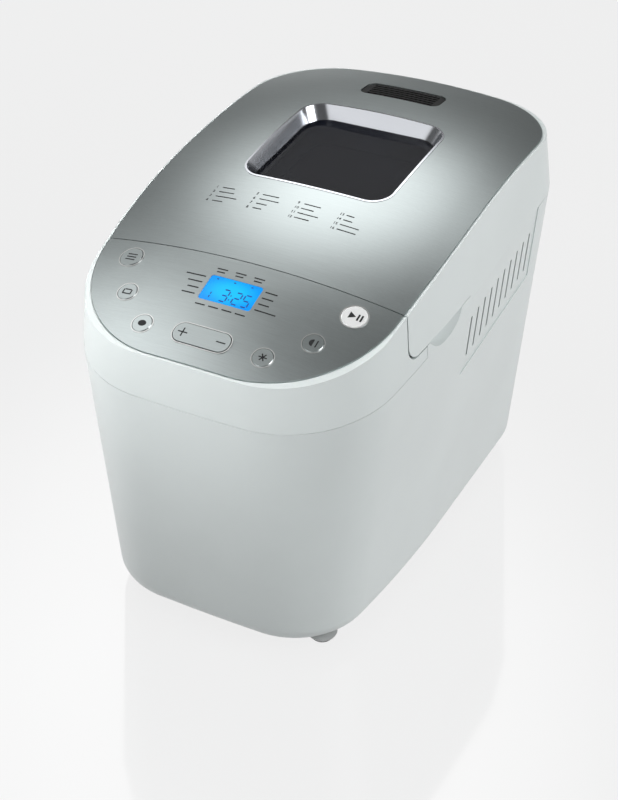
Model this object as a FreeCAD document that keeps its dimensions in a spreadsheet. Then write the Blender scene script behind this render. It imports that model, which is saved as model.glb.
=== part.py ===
import FreeCAD, Part
import math
import os
import re
from types import SimpleNamespace

import Sketcher

V = FreeCAD.Vector
doc = FreeCAD.newDocument("bread_machine")

# Driving dimensions, in millimetres and degrees. The front of the machine faces -Y.
SIZES = {
    # Parting plane where the body is widest, and its outline
    "seam_height": 224.5,
    "seam_tilt": 7.86,
    "seam_half_width": 123.0,
    "seam_half_length": 186.0,
    "seam_front_corner": 77.0,
    "seam_back_corner": 56.0,
    # Outline of the foot of the housing
    "foot_height": 8.0,
    "foot_half_width": 106.0,
    "foot_front": 174.0,
    "foot_back": 178.0,
    "foot_front_corner": 58.0,
    "foot_back_corner": 49.0,
    "foot_round": 16.0,
    # Outline far above the crown, which sets the lean of the upper walls
    "upper_rise": 75.0,
    "upper_half_width": 117.3,
    "upper_front": 184.5,
    "upper_back": 172.5,
    "upper_front_corner": 83.0,
    "upper_back_corner": 56.0,
    # Gentle bulge of the front, the sides and the back in plan
    "front_bulge": 1400.0,
    "side_bulge": 1000.0,
    "back_bulge": 2200.0,
    # Crown: the spherical top of the lid and the control panel
    "crown_radius": 720.0,
    "crown_top": 298.0,
    "crown_apex_y": 111.0,
    # Lower edge of the lid, and the seam between the lid and the control panel
    "lid_line_height": 229.5,
    "lid_line_tilt": 4.86,
    "lid_front_y": -99.0,
    "lid_corner_radius": 11.0,
    "lid_gap": 0.6,
    "leg_end_y": -75.0,
    "wall": 3.0,
    "top_wall": 2.4,
    "joint_gap": 0.4,
    # Steel skins
    "steel_half_width": 117.0,
    "steel_front": 183.4,
    "steel_back": 176.0,
    "steel_front_corner": 85.0,
    "steel_back_corner": 57.0,
    "steel_thickness": 1.0,
    "steel_groove": 0.9,
    # Side vents
    "vent_count": 10,
    "vent_pitch": 12.0,
    "vent_first_y": 0.0,
    "vent_width": 2.6,
    "vent_drop": 18.0,
    "vent_length": 33.0,
    "vent_panel_depth": 0.8,
    "vent_panel_margin": 10.0,
    # Finger scoop under the lid edge
    "scoop_y": -50.0,
    "scoop_half_length": 25.0,
    "scoop_drop": 12.5,
    "scoop_depth": 8.0,
    # Base plate, feet and screws
    "base_thickness": 2.5,
    "base_inset": 14.0,
    "base_lip": 8.0,
    "foot_x": 76.0,
    "foot_front_y": -140.0,
    "foot_back_y": 148.0,
    "foot_radius": 10.0,
    "pad_height": 2.0,
    "screw_radius": 1.75,
    "screw_head_radius": 3.4,
    "screw_length": 12.0,
    "base_screw_x": 86.0,
    "base_screw_front_y": -66.0,
    "base_screw_back_y": 110.0,
    # Oven
    "oven_centre_y": 40.0,
    "oven_half_width": 82.0,
    "oven_half_length": 112.0,
    "oven_corner": 26.0,
    "oven_floor_z": 62.0,
    "sheet": 1.0,
    "oven_flange": 9.0,
    "deck_drop": 1.5,
    "deck_thickness": 3.0,
    "deck_ledge": 3.0,
    # Lid inner parts
    "liner_rise": 3.0,
    "dome_rise": 26.0,
    "liner_thickness": 2.0,
    "dome_half_width": 92.0,
    "dome_half_length": 118.0,
    "dome_corner": 30.0,
    "seal_width": 5.0,
    "seal_gap": 0.3,
    # Lid window
    "window_y": 39.5,
    "window_half_width": 60.0,
    "window_half_length": 58.5,
    "window_corner": 17.0,
    "bezel_depth": 17.0,
    "bezel_slope": 8.0,
    "bezel_wall": 1.6,
    "bezel_ledge": 4.0,
    "glass_thickness": 3.0,
    "glass_gap": 0.3,
    # Steam slot
    "steam_y": 138.4,
    "steam_half_width": 33.0,
    "steam_half_length": 11.7,
    "steam_corner": 7.0,
    "steam_depth": 9.0,
    "steam_bars": 5,
    # Hinge
    "hinge_y": 181.5,
    "hinge_rise": 5.0,
    "hinge_x": 60.0,
    "hinge_ear": 5.0,
    "hinge_knuckle": 12.0,
    "hinge_side_gap": 0.4,
    "hinge_pin_radius": 2.0,
    "hinge_radius": 4.4,
    "run_gap": 0.05,
    # Control panel
    "display_y": -126.2,
    "display_half_width": 19.6,
    "display_half_length": 10.8,
    "display_corner": 2.0,
    "upper_key_x": 84.6,
    "upper_key_y": -114.3,
    "middle_key_x": 69.8,
    "middle_key_y": -142.9,
    "lower_key_x": 45.0,
    "lower_key_y": -164.0,
    "menu_radius": 8.5,
    "start_radius": 9.0,
    "key_radius": 7.2,
    "key_gap": 0.35,
    "key_proud": 0.5,
    "key_flange": 1.0,
    "key_travel": 1.0,
    "rocker_y": -163.5,
    "rocker_half_length": 20.5,
    "rocker_half_width": 7.4,
    "rocker_corner": 6.7,
    "rocker_gap": 0.6,
    "rocker_axle_radius": 1.2,
    "rocker_axle_depth": 6.0,
    "board_y": -140.0,
    "board_depth": 20.0,
    "board_thickness": 1.6,
    "board_half_width": 92.0,
    "board_half_length": 31.0,
    # Pan
    "pan_half_width": 64.0,
    "pan_half_length": 100.0,
    "pan_taper": 5.0,
    "pan_corner": 30.0,
    "pan_floor_z": 77.0,
    "pan_top_z": 200.0,
    "pan_wall": 1.6,
    "pan_rim": 5.0,
    "pan_base_half_width": 44.0,
    "pan_base_half_length": 90.0,
    "socket_thickness": 2.0,
    "socket_height": 8.0,
    "socket_gap": 0.6,
    "handle_wire": 2.5,
    "handle_height": 39.0,
    "handle_pivot_rise": 4.5,
    # Drive
    "paddle_spacing": 104.0,
    "shaft_radius": 4.0,
    "chassis_z": 46.0,
    "chassis_thickness": 2.0,
    "chassis_half_width": 46.0,
    "bearing_radius": 14.0,
    "pulley_radius": 38.0,
    "cross_pulley_radius": 24.0,
    "pulley_z": 14.0,
    "pulley_width": 11.0,
    "pulley_gap": 3.0,
    "belt_thickness": 2.5,
    "belt_gap": 0.3,
    "motor_y": -124.0,
    "motor_radius": 36.0,
    "motor_height": 66.0,
    "motor_pulley_radius": 8.0,
    "motor_shaft_radius": 3.0,
    "mount_height": 5.0,
    "paddle_reach": 40.0,
    "paddle_height": 26.0,
    "hub_radius": 8.5,
    # Heater and probe
    "heater_radius": 3.25,
    "heater_z": 94.0,
    "heater_clear": 3.6,
    "heater_corner": 22.0,
    "heater_lead_x": 16.0,
    "probe_radius": 3.0,
    "probe_reach": 8.0,
    "probe_z": 140.0,
    # Cord gland
    "gland_x": 40.0,
    "gland_z": 36.0,
    "gland_radius": 8.0,
    # Fastenings and seats of the shells
    "screw_head_height": 1.6,
    "base_boss_ratio": 2.6,
    "lid_post_ratio": 2.4,
    "hinge_notch": 12.0,
    "tongue_wall": 2.0,
    "tongue_depth": 6.0,
    "bezel_proud": 0.3,
    "grille_sink": 0.8,
    "grille_end": 6.0,
    "lens_sink": 0.1,
    "display_ledge": 1.5,
    "pane_ledge": 3.0,
    # Caps, stems and switches of the keys
    "key_clear": 0.3,
    "key_flange_thickness": 1.4,
    "key_stem_radius": 2.0,
    "key_stem_length": 4.0,
    "key_edge": 0.6,
    "rocker_skirt": 2.0,
    "rocker_contact_x": 14.0,
    "rocker_contact_gap": 0.5,
    "rocker_lug_width": 5.0,
    "rocker_lug_thickness": 3.0,
    "rocker_lug_gap": 0.8,
    "switch_side": 6.0,
    "switch_height": 3.5,
    "plunger_radius": 1.6,
    "board_corner": 24.0,
    "board_post_radius": 3.5,
    "module_width": 48.0,
    "module_length": 29.0,
    "module_cover": 6.0,
    "module_edge": 1.0,
    # Stand-offs, capacitor and power board on the base plate
    "column_radius": 6.0,
    "front_column_inset": 24.0,
    "back_column_inset": 9.0,
    "chassis_front_reach": 6.0,
    "chassis_back_reach": 34.0,
    "capacitor_x": -61.5,
    "capacitor_y": -104.0,
    "capacitor_radius": 13.0,
    "capacitor_height": 42.0,
    "capacitor_edge": 2.0,
    "terminal_radius": 4.0,
    "terminal_height": 6.0,
    "seat_gap": 0.3,
    "cup_wall": 2.0,
    "cup_height": 8.0,
    "card_x": 66.0,
    "card_y": -102.0,
    "card_half": 30.0,
    "card_height": 62.0,
    "card_thickness": 1.6,
    "transformer_width": 18.0,
    "guide_width": 7.0,
    "guide_depth": 6.0,
    "guide_height": 22.0,
    "guide_floor": 2.0,
    # Fits of the heating element and the probe in the oven wall
    "heater_slack": 0.2,
    "heater_fit": 0.25,
    "heater_hole": 40.0,
    "heater_bend": 6.0,
    "heater_lead": 14.0,
    "clip_half_spacing": 45.0,
    "clip_width": 8.0,
    "clip_cover": 3.0,
    "clip_wall": 2.5,
    "probe_x": 40.0,
    # Ears, bushings and couplings of the pan and the drive
    "rim_height": 2.0,
    "pan_ear_width": 16.0,
    "pan_ear_thickness": 2.5,
    "pan_eye_radius": 5.5,
    "bush_wall": 3.5,
    "bush_depth": 4.0,
    "bush_rise": 2.5,
    "dog_length": 20.0,
    "dog_width": 5.0,
    "dog_height": 4.0,
    "coupling_radius": 13.0,
    "coupling_thickness": 2.5,
    "coupling_pin_radius": 2.5,
    "coupling_pin_length": 4.2,
    "coupling_pin_offset": 9.0,
    "shaft_rise": 22.0,
    "blade_step": 4.0,
    "blade_tip": 6.0,
    "blade_tilt": 14.0,
    "pulley_flange": 2.0,
    "pulley_flange_width": 1.0,
    "motor_flange": 8.0,
    "motor_plate": 3.0,
}

sheet = doc.addObject("Spreadsheet::Sheet", "Sizes")
for row, (name, number) in enumerate(SIZES.items(), start=1):
    sheet.set(f"A{row}", name)
    sheet.set(f"B{row}", str(number))
    sheet.setAlias(f"B{row}", name)
doc.recompute()
d = SimpleNamespace(**{name: float(sheet.get(name)) for name in SIZES})

NODES = []


def linked(text):
    """An expression whose plain words are cells of the sheet."""
    return re.sub(r"[a-z_]\w*", lambda m: "Sizes." + m[0] if m[0] in SIZES else m[0], text)


def value(text):
    """What an expression on the sheet comes to."""
    return float(sheet.evalExpression(linked(text)))


def bind(obj, prop, text):
    obj.setExpression(prop, linked(text))


def place(obj, at):
    """Bind the position of an object to three expressions, or leave it free to be set."""
    for axis, text in zip("xyz", at or ()):
        bind(obj, "Placement.Base." + axis, text)


def node(label, obj):
    """Keep an object as a sub-part under its label."""
    obj.Label = label
    NODES.append(obj)
    return obj


def shaped(label, shape):
    """A sub-part whose form comes from free surfaces."""
    obj = doc.addObject("Part::Feature", label)
    obj.Shape = shape
    return node(label, obj)


# Sketched bodies and primitives

def profile(body, role, corners, rounded=()):
    """A closed sketch through corners, given as pairs of expressions.

    An edge whose number is in rounded is an arc that leaves its corner along the edge before it.
    """
    sketch = body.newObject("Sketcher::SketchObject", body.Name + "_profile")
    plane = [f for f in body.Origin.OriginFeatures if f.Role == role][0]
    sketch.AttachmentSupport = [(plane, "")]
    sketch.MapMode = "FlatFace"
    points = [V(value(x), value(y), 0) for x, y in corners]
    count = len(points)
    starts, ends = [], []
    for i, start in enumerate(points):
        end = points[(i + 1) % count]
        if i not in rounded:
            sketch.addGeometry(Part.LineSegment(start, end), False)
            starts.append(1)
            ends.append(2)
            continue
        along = (start - points[i - 1]).normalize()
        side = V(-along.y, along.x, 0)
        chord = end - start
        turn = chord.dot(chord) / (2 * chord.dot(side))
        centre = start + side * turn
        first, last = (start, end) if turn > 0 else (end, start)
        angles = [math.atan2(p.y - centre.y, p.x - centre.x) for p in (first, last)]
        circle = Part.Circle(centre, V(0, 0, 1), abs(turn))
        sketch.addGeometry(Part.ArcOfCircle(circle, *angles), False)
        starts.append(1 if turn > 0 else 2)
        ends.append(2 if turn > 0 else 1)
    for i in range(count):
        after = (i + 1) % count
        kind = "Tangent" if after in rounded else "Coincident"
        sketch.addConstraint(Sketcher.Constraint(kind, i, ends[i], after, starts[after]))
    for i, pair in enumerate(corners):
        for kind, axis, text in zip(("DistanceX", "DistanceY"), (-2, -1), pair):
            if text == "0":
                sketch.addConstraint(Sketcher.Constraint("PointOnObject", i, starts[i], axis))
                continue
            number = value(text)
            spot = sketch.addConstraint(Sketcher.Constraint(kind, -1, 1, i, starts[i], number))
            bind(sketch, f"Constraints[{spot}]", text)
    return sketch


def turned(name, corners, at=None, rounded=()):
    """A body of revolution about its own Z axis, from a profile of radius and height."""
    body = doc.addObject("PartDesign::Body", name)
    sketch = profile(body, "XZ_Plane", corners, rounded)
    revolve = body.newObject("PartDesign::Revolution", name + "_turn")
    revolve.Profile = sketch
    revolve.ReferenceAxis = (sketch, ["V_Axis"])
    revolve.Angle = 360
    place(body, at)
    return body


def padded(name, corners, height, at=None, rounded=()):
    """A body of one thickness, from an outline in plan."""
    body = doc.addObject("PartDesign::Body", name)
    sketch = profile(body, "XY_Plane", corners, rounded)
    pad = body.newObject("PartDesign::Pad", name + "_pad")
    pad.Profile = sketch
    bind(pad, "Length", height)
    place(body, at)
    return body


def rounded_corners(half_x, half_y, radius):
    """Corners of a rounded rectangle, with its arcs on the odd edges."""
    x, y, r = half_x, half_y, radius
    return [
        (f"-({x} - {r})", f"-({y})"), (f"{x} - {r}", f"-({y})"),
        (f"{x}", f"-({y} - {r})"), (f"{x}", f"{y} - {r}"),
        (f"{x} - {r}", f"{y}"), (f"-({x} - {r})", f"{y}"),
        (f"-({x})", f"{y} - {r}"), (f"-({x})", f"-({y} - {r})"),
    ]


ROUND_EDGES = (1, 3, 5, 7)


def cylinder(name, radius, height, at, turn=None):
    obj = doc.addObject("Part::Cylinder", name)
    bind(obj, "Radius", radius)
    bind(obj, "Height", height)
    if turn:
        obj.Placement = FreeCAD.Placement(V(), turn)
    place(obj, at)
    return obj


def box(name, length, width, height, at):
    obj = doc.addObject("Part::Box", name)
    bind(obj, "Length", length)
    bind(obj, "Width", width)
    bind(obj, "Height", height)
    place(obj, at)
    return obj


def fused(name, *pieces):
    obj = doc.addObject("Part::MultiFuse", name)
    obj.Shapes = list(pieces)
    return obj


def cut(name, base, *tools):
    obj = doc.addObject("Part::Cut", name)
    obj.Base = base
    obj.Tool = tools[0] if len(tools) == 1 else fused(name + "_tools", *tools)
    return obj


def grouped(name, *pieces):
    obj = doc.addObject("Part::Compound", name)
    obj.Links = list(pieces)
    return obj


ALONG_X = FreeCAD.Rotation(V(0, 1, 0), 90)
ALONG_Y = FreeCAD.Rotation(V(1, 0, 0), -90)

# Planes, crown and plan outlines that the shells share

FAR = 400.0


def seam_z(y):
    return d.seam_height + y * math.tan(math.radians(d.seam_tilt))


def lid_z(y):
    return d.lid_line_height + y * math.tan(math.radians(d.lid_line_tilt))


CROWN_CENTRE = V(0, d.crown_apex_y, d.crown_top - d.crown_radius)


def crown_z(x, y):
    reach = x ** 2 + (y - CROWN_CENTRE.y) ** 2
    return CROWN_CENTRE.z + math.sqrt(d.crown_radius ** 2 - reach)


def crown_frame(x, y):
    """A frame on the crown with Z straight out of it."""
    origin = V(x, y, crown_z(x, y))
    return FreeCAD.Placement(origin, FreeCAD.Rotation(V(0, 0, 1), origin - CROWN_CENTRE))


def under_crown(depth=0.0):
    """Everything under the crown, less a depth. The poles of the ball lie far to the left and right."""
    ball = Part.makeSphere(d.crown_radius - depth, V(), V(1, 0, 0))
    low = min(ball.Edges, key=lambda e: e.Length if e.Degenerated else -e.Length)
    seam = low.valueAt(sum(low.ParameterRange) / 2)
    ball.rotate(V(), V(1, 0, 0), math.degrees(math.atan2(seam.y, -seam.z)) * -1)
    return ball.translated(CROWN_CENTRE)


def arc(start, centre, radius, end):
    """The short arc from start to end about a centre."""
    middle = (start + end) * 0.5 - centre
    return Part.Arc(start, centre + middle.normalize() * radius, end).toShape()


def outline(half_width, front, back, front_corner, back_corner, inset=0.0):
    """Plan outline of the body: bulged front, sides and back, joined by tangent corner arcs."""
    a, r, q = half_width - inset, front_corner - inset, back_corner - inset
    nose, side, tail = (b - inset for b in (d.front_bulge, d.side_bulge, d.back_bulge))
    nose_centre = V(0, -front + d.front_bulge, 0)
    side_centre = V(half_width - d.side_bulge, 0, 0)
    span = side_centre - nose_centre
    reach = span.Length
    to_nose, to_side = nose - r, side - r
    along = (to_nose ** 2 - to_side ** 2 + reach ** 2) / (2 * reach)
    unit = span * (1 / reach)
    off = math.sqrt(to_nose ** 2 - along ** 2)
    corner = nose_centre + unit * along + V(-unit.y, unit.x, 0) * off
    if corner.x < 0:
        corner = nose_centre + unit * along - V(-unit.y, unit.x, 0) * off
    tail_centre = V(0, back - d.back_bulge, 0)
    rear = V(a - q, tail_centre.y + math.sqrt((tail - q) ** 2 - (a - q) ** 2), 0)
    nose_end = nose_centre + (corner - nose_centre).normalize() * nose
    side_end = side_centre + (corner - side_centre).normalize() * side
    tail_end = tail_centre + (rear - tail_centre).normalize() * tail

    def left(p):
        return V(-p.x, p.y, 0)

    waist, shoulder = V(a, 0, 0), V(a, rear.y, 0)
    edges = [
        Part.makeLine(waist, shoulder),
        arc(shoulder, rear, q, tail_end),
        arc(tail_end, tail_centre, tail, left(tail_end)),
        arc(left(tail_end), left(rear), q, left(shoulder)),
        Part.makeLine(left(shoulder), left(waist)),
        arc(left(waist), left(side_centre), side, left(side_end)),
        arc(left(side_end), left(corner), r, left(nose_end)),
        arc(left(nose_end), nose_centre, nose, nose_end),
        arc(nose_end, corner, r, side_end),
        arc(side_end, side_centre, side, waist),
    ]
    return Part.Wire(edges)


def on_seam(wire, rise=0.0):
    """Lay a plan outline on the seam plane, raised straight up."""
    tilt = FreeCAD.Rotation(V(1, 0, 0), d.seam_tilt)
    wire.Placement = FreeCAD.Placement(V(0, 0, d.seam_height + rise), tilt)
    return wire


def foot_outline(inset=0.0):
    return outline(d.foot_half_width, d.foot_front, d.foot_back,
                   d.foot_front_corner, d.foot_back_corner, inset)


def steel_outline(grow=0.0):
    return outline(d.steel_half_width, d.steel_front, d.steel_back,
                   d.steel_front_corner, d.steel_back_corner, -grow)


def envelope(inset=0.0, floor=0.0):
    """The whole body as one block: foot, widest line and crown walls, drawn in by an inset."""
    lean = math.cos(math.radians(d.seam_tilt))
    foot = foot_outline(inset)
    foot.translate(V(0, 0, d.foot_height + floor))
    seam = on_seam(outline(d.seam_half_width, d.seam_half_length / lean, d.seam_half_length / lean,
                           d.seam_front_corner, d.seam_back_corner, inset))
    upper = on_seam(outline(d.upper_half_width, d.upper_front / lean, d.upper_back / lean,
                            d.upper_front_corner, d.upper_back_corner, inset), d.upper_rise)
    return Part.makeLoft([foot, seam, upper], True, True)


def side_prism(points, half_width=FAR):
    """A block across the machine, from points of its side view."""
    wire = Part.makePolygon([V(-half_width, y, z) for y, z in points + points[:1]])
    return Part.Face(wire).extrude(V(2 * half_width, 0, 0))


def band(low, high, start=-FAR, end=FAR):
    """Everything between two sloping planes, from start to end along Y."""
    return side_prism([(start, low(start)), (end, low(end)), (end, high(end)), (start, high(start))])


def above(level, rise=0.0):
    return lambda y: level(y) + rise


def lid_block(gap=0.0):
    """Side view of the lid: upright front edge, rounded lower corner, sloping lower edge."""
    front = d.lid_front_y + gap
    tilt = math.radians(d.lid_line_tilt)
    r = d.lid_corner_radius
    slope = math.tan(tilt)
    low = lid_z(front) + gap
    centre_y = front + r
    centre_z = low + slope * r + r / math.cos(tilt)
    foot_y = centre_y + r * math.sin(tilt)
    foot_z = centre_z - r * math.cos(tilt)
    swing = math.radians(225 + d.lid_line_tilt / 2)
    mid = V(-FAR, centre_y + r * math.cos(swing), centre_z + r * math.sin(swing))
    start, end = V(-FAR, front, centre_z), V(-FAR, foot_y, foot_z)
    back_low = V(-FAR, FAR, foot_z + (FAR - foot_y) * slope)
    edges = [
        Part.makeLine(V(-FAR, front, FAR), start),
        Part.Arc(start, mid, end).toShape(),
        Part.makeLine(end, back_low),
        Part.makeLine(back_low, V(-FAR, FAR, FAR)),
        Part.makeLine(V(-FAR, FAR, FAR), V(-FAR, front, FAR)),
    ]
    return Part.Face(Part.Wire(edges)).extrude(V(2 * FAR, 0, 0))


def rounded_face(half_x, half_y, radius):
    """A rounded rectangle in the XY plane."""
    corners = []
    for sx, sy in ((1, 1), (-1, 1), (-1, -1), (1, -1)):
        corners.append((V(sx * (half_x - radius), sy * (half_y - radius), 0), sx, sy))
    edges = []
    ends = []
    for centre, sx, sy in corners:
        points = [centre + V(sx * radius, 0, 0), centre + V(0, sy * radius, 0)]
        if sx * sy < 0:
            points.reverse()
        edges.append(arc(points[0], centre, radius, points[1]))
        ends.append(points)
    for i in range(4):
        edges.append(Part.makeLine(ends[i][1], ends[(i + 1) % 4][0]))
    return Part.Face(Part.Wire(Part.__sortEdges__(edges)))


def rounded_block(half_x, half_y, radius, low, high, centre_y=0.0):
    """An upright block of rounded rectangular plan."""
    face = rounded_face(half_x, half_y, radius)
    face.translate(V(0, centre_y, low))
    return face.extrude(V(0, 0, high - low))


def tapered_block(low_half, high_half, low, high):
    """A block that flares from one rounded rectangle to another: (half x, half y, radius)."""
    wires = []
    for half, z in ((low_half, low), (high_half, high)):
        wire = rounded_face(*half).OuterWire
        wire.translate(V(0, 0, z))
        wires.append(wire)
    return Part.makeLoft(wires, True, True)


def whole(shape):
    """One solid out of a boolean result."""
    shape = shape.removeSplitter()
    return shape.Solids[0] if len(shape.Solids) == 1 else shape


# Lower housing: a tapered tub with vent slots, finger scoops, a ledge for the deck and screw bosses


def round_foot(block, radius):
    """Round the lower edge of a block."""
    level = block.BoundBox.ZMin + d.joint_gap
    return block.makeFillet(radius, [e for e in block.Edges if e.BoundBox.ZMax < level])


skin = round_foot(envelope(), d.foot_round)
inner = round_foot(envelope(d.wall, d.wall), d.foot_round - d.wall)

top_outline = [
    (-FAR, seam_z(-FAR)), (d.leg_end_y, seam_z(d.leg_end_y)),
    (d.leg_end_y, lid_z(d.leg_end_y)), (FAR, lid_z(FAR)), (FAR, FAR), (-FAR, FAR),
]
housing_top = side_prism(top_outline)


def deck_low(y):
    return lid_z(y) - d.deck_drop - d.deck_thickness


housing = skin.cut(inner)
ledge = inner.cut(envelope(d.wall + d.deck_ledge, d.wall))
ledge = ledge.common(band(above(deck_low, -d.deck_ledge), deck_low, d.lid_front_y))
housing = housing.fuse(ledge)

scoop_rise = (d.scoop_half_length ** 2 - d.scoop_drop ** 2) / (2 * d.scoop_drop)
scoop_radius = scoop_rise + d.scoop_drop
scoop_centre_z = lid_z(d.scoop_y) + scoop_rise
scoops = []
scoop_walls = []
for side in (-1, 1):
    floor_x = d.seam_half_width - d.scoop_depth
    start = V(side * floor_x, d.scoop_y, scoop_centre_z)
    out = V(side, 0, 0)
    scoops.append(Part.makeCone(scoop_radius - d.scoop_depth / 2, scoop_radius + d.scoop_depth / 2,
                                2 * d.scoop_depth, start, out))
    back = start - out * d.wall
    scoop_walls.append(Part.makeCylinder(scoop_radius + d.wall, d.scoop_depth + d.wall, back, out))
housing = housing.fuse([w.common(skin) for w in scoop_walls])

vent_y = [d.vent_first_y + i * d.vent_pitch for i in range(int(d.vent_count))]
slots = []
for y in vent_y:
    top = seam_z(y) - d.vent_drop
    low = top - d.vent_length
    front, back = y - d.vent_width / 2, y + d.vent_width / 2
    slots.append(side_prism([(front, low), (back, low), (back, top), (front, top)]))
panel = band(above(seam_z, -d.vent_drop - d.vent_length - d.vent_panel_margin), above(lid_z, FAR),
             vent_y[0] - d.vent_panel_margin, vent_y[-1] + d.vent_panel_margin)
panel = panel.common(skin.cut(envelope(d.vent_panel_depth)))

opening = Part.Face(foot_outline(d.base_inset + d.base_lip)).extrude(V(0, 0, d.foot_height + 2 * d.wall))
screw_rows = (d.base_screw_front_y, d.base_screw_back_y)
screw_spots = [(side * d.base_screw_x, y) for side in (-1, 1) for y in screw_rows]
base_top = d.foot_height
bosses = []
pilots = []
for x, y in screw_spots:
    boss_radius = d.base_boss_ratio * d.screw_radius
    bosses.append(Part.makeCylinder(boss_radius, d.screw_length + d.wall, V(x, y, base_top)))
    pilots.append(Part.makeCylinder(d.screw_radius, d.screw_length, V(x, y, base_top)))
gland_hole = Part.makeCylinder(d.gland_radius, FAR, V(d.gland_x, 0, d.gland_z), V(0, 1, 0))

housing = housing.fuse([b.common(skin) for b in bosses])
housing = housing.cut(housing_top).cut(panel).cut([opening, gland_hole] + pilots)
housing = housing.cut(scoops).cut(slots)
shaped("lower_housing", whole(housing))

# Front collar: the moulding under the control panel, with legs that run back below the lid corners

panel_back = d.lid_front_y - d.lid_gap
collar_block = band(above(seam_z, d.joint_gap), above(seam_z, FAR), -FAR, d.leg_end_y - d.joint_gap)
collar_block = collar_block.cut(lid_block(-d.lid_gap))
collar = skin.common(collar_block).common(under_crown(d.joint_gap))
hollow = inner.common(under_crown(d.steel_thickness + d.top_wall))
collar = collar.cut(hollow.common(band(above(seam_z, -FAR), above(seam_z, FAR), -FAR, panel_back - d.wall)))
collar = collar.cut(inner.common(band(above(seam_z, -FAR), above(seam_z, FAR), panel_back, FAR)))
tongue_fit = d.joint_gap / 2
tongue = envelope(d.wall + tongue_fit).cut(envelope(d.wall + tongue_fit + d.tongue_wall))
tongue = tongue.common(band(above(seam_z, -d.tongue_depth), above(seam_z, d.tongue_depth), -FAR,
                            panel_back - 2 * d.wall))
shoulder = envelope(d.wall / 2).cut(envelope(d.wall + tongue_fit + d.tongue_wall))
shoulder = shoulder.common(band(above(seam_z, d.joint_gap), above(seam_z, d.tongue_depth), -FAR,
                                panel_back - 2 * d.wall))
collar = collar.fuse([tongue, shoulder])

steel_block = Part.Face(steel_outline()).extrude(V(0, 0, FAR))
groove_block = Part.Face(steel_outline(d.steel_groove)).extrude(V(0, 0, FAR))
pocket = groove_block.cut(under_crown(d.steel_thickness))
collar = collar.cut(pocket)

keys = {
    "menu_button": (-d.upper_key_x, d.upper_key_y, "menu_radius"),
    "loaf_size_button": (-d.middle_key_x, d.middle_key_y, "key_radius"),
    "dough_button": (-d.lower_key_x, d.lower_key_y, "key_radius"),
    "custom_button": (d.lower_key_x, d.lower_key_y, "key_radius"),
    "crust_button": (d.middle_key_x, d.middle_key_y, "key_radius"),
    "start_button": (d.upper_key_x, d.upper_key_y, "start_radius"),
}


def on_crown(shape, x, y):
    """Set a shape that was made about the origin on the crown."""
    shape.Placement = crown_frame(x, y).multiply(shape.Placement)
    return shape


key_depth = 30.0
key_holes = []
for x, y, radius in keys.values():
    hole = Part.makeCylinder(getattr(d, radius) + d.key_gap, key_depth, V(0, 0, -key_depth / 2))
    key_holes.append(on_crown(hole, x, y))
rocker_hole = rounded_block(d.rocker_half_length + d.rocker_gap, d.rocker_half_width + d.rocker_gap,
                            d.rocker_corner + d.rocker_gap, -key_depth / 2, key_depth / 2)
key_holes.append(on_crown(rocker_hole, 0, d.rocker_y))
display_hole = on_crown(rounded_block(d.display_half_width, d.display_half_length, d.display_corner,
                                      -key_depth / 2, key_depth / 2), 0, d.display_y)
display_sight = on_crown(rounded_block(d.display_half_width - d.display_ledge,
                                       d.display_half_length - d.display_ledge, d.display_corner,
                                       -key_depth / 2, key_depth / 2), 0, d.display_y)

board_frame = crown_frame(0, d.board_y)


def on_board(shape):
    """Set a shape on the frame of the control board, whose upper face lies at minus the board depth."""
    shape.Placement = board_frame.multiply(shape.Placement)
    return shape


post_spots = [(sx * x, y) for sx in (-1, 1) for x, y in ((33.0, 24.0), (82.0, 6.0), (62.0, -18.0))]
posts = []
for x, y in post_spots:
    post = on_board(Part.makeCylinder(d.board_post_radius, d.board_depth, V(x, y, -d.board_depth)))
    posts.append(post.common(under_crown(d.steel_thickness + d.top_wall / 2)))
lugs = []
lug_width, lug_thickness = d.rocker_lug_width, d.rocker_lug_thickness
lug_start = d.rocker_half_width + d.rocker_gap + d.rocker_lug_gap
lug_drop = d.rocker_axle_depth + 2.2 * d.rocker_axle_radius
for side in (-1, 1):
    low_y = lug_start if side > 0 else -lug_start - lug_thickness
    lug = Part.makeBox(lug_width, lug_thickness, lug_drop, V(-lug_width / 2, low_y, -lug_drop))
    lugs.append(on_crown(lug, 0, d.rocker_y).common(under_crown(d.steel_thickness + d.top_wall / 2)))
axle_hole = Part.makeCylinder(d.rocker_axle_radius + d.run_gap, 4 * d.rocker_half_width,
                              V(0, -2 * d.rocker_half_width, -d.rocker_axle_depth), V(0, 1, 0))
collar = collar.fuse(posts + lugs)
collar = collar.cut(key_holes + [display_sight, on_crown(axle_hole, 0, d.rocker_y)])
shaped("front_collar", whole(collar))

# Steel skins of the control panel and the lid

steel = steel_block.common(under_crown()).cut(under_crown(d.steel_thickness))
fascia = steel.common(band(above(seam_z, -FAR), above(seam_z, FAR), -FAR, panel_back))
shaped("control_plate", whole(fascia.cut(key_holes + [display_hole])))

window_frame = crown_frame(0, d.window_y)


def on_window(shape):
    shape.Placement = window_frame.multiply(shape.Placement)
    return shape


def window_funnel(grow, low, high):
    """The flared window well between two depths, drawn out by grow."""
    slope = d.bezel_slope / d.bezel_depth

    def half(z):
        out = grow + z * slope
        return (d.window_half_width + out, d.window_half_length + out, d.window_corner + grow)

    return tapered_block(half(low), half(high), low, high)


window_top = 3.0
well_hole = on_window(window_funnel(d.glass_gap / 2, -d.bezel_depth - d.wall, window_top))
steam_hole = rounded_block(d.steam_half_width, d.steam_half_length, d.steam_corner,
                           -FAR / 4, FAR / 4)
steam_hole = on_crown(steam_hole, 0, d.steam_y)
lid_skin = steel.common(band(above(seam_z, -FAR), above(seam_z, FAR), d.lid_front_y, FAR))
shaped("lid_plate", whole(lid_skin.cut([well_hole, steam_hole])))

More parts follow.
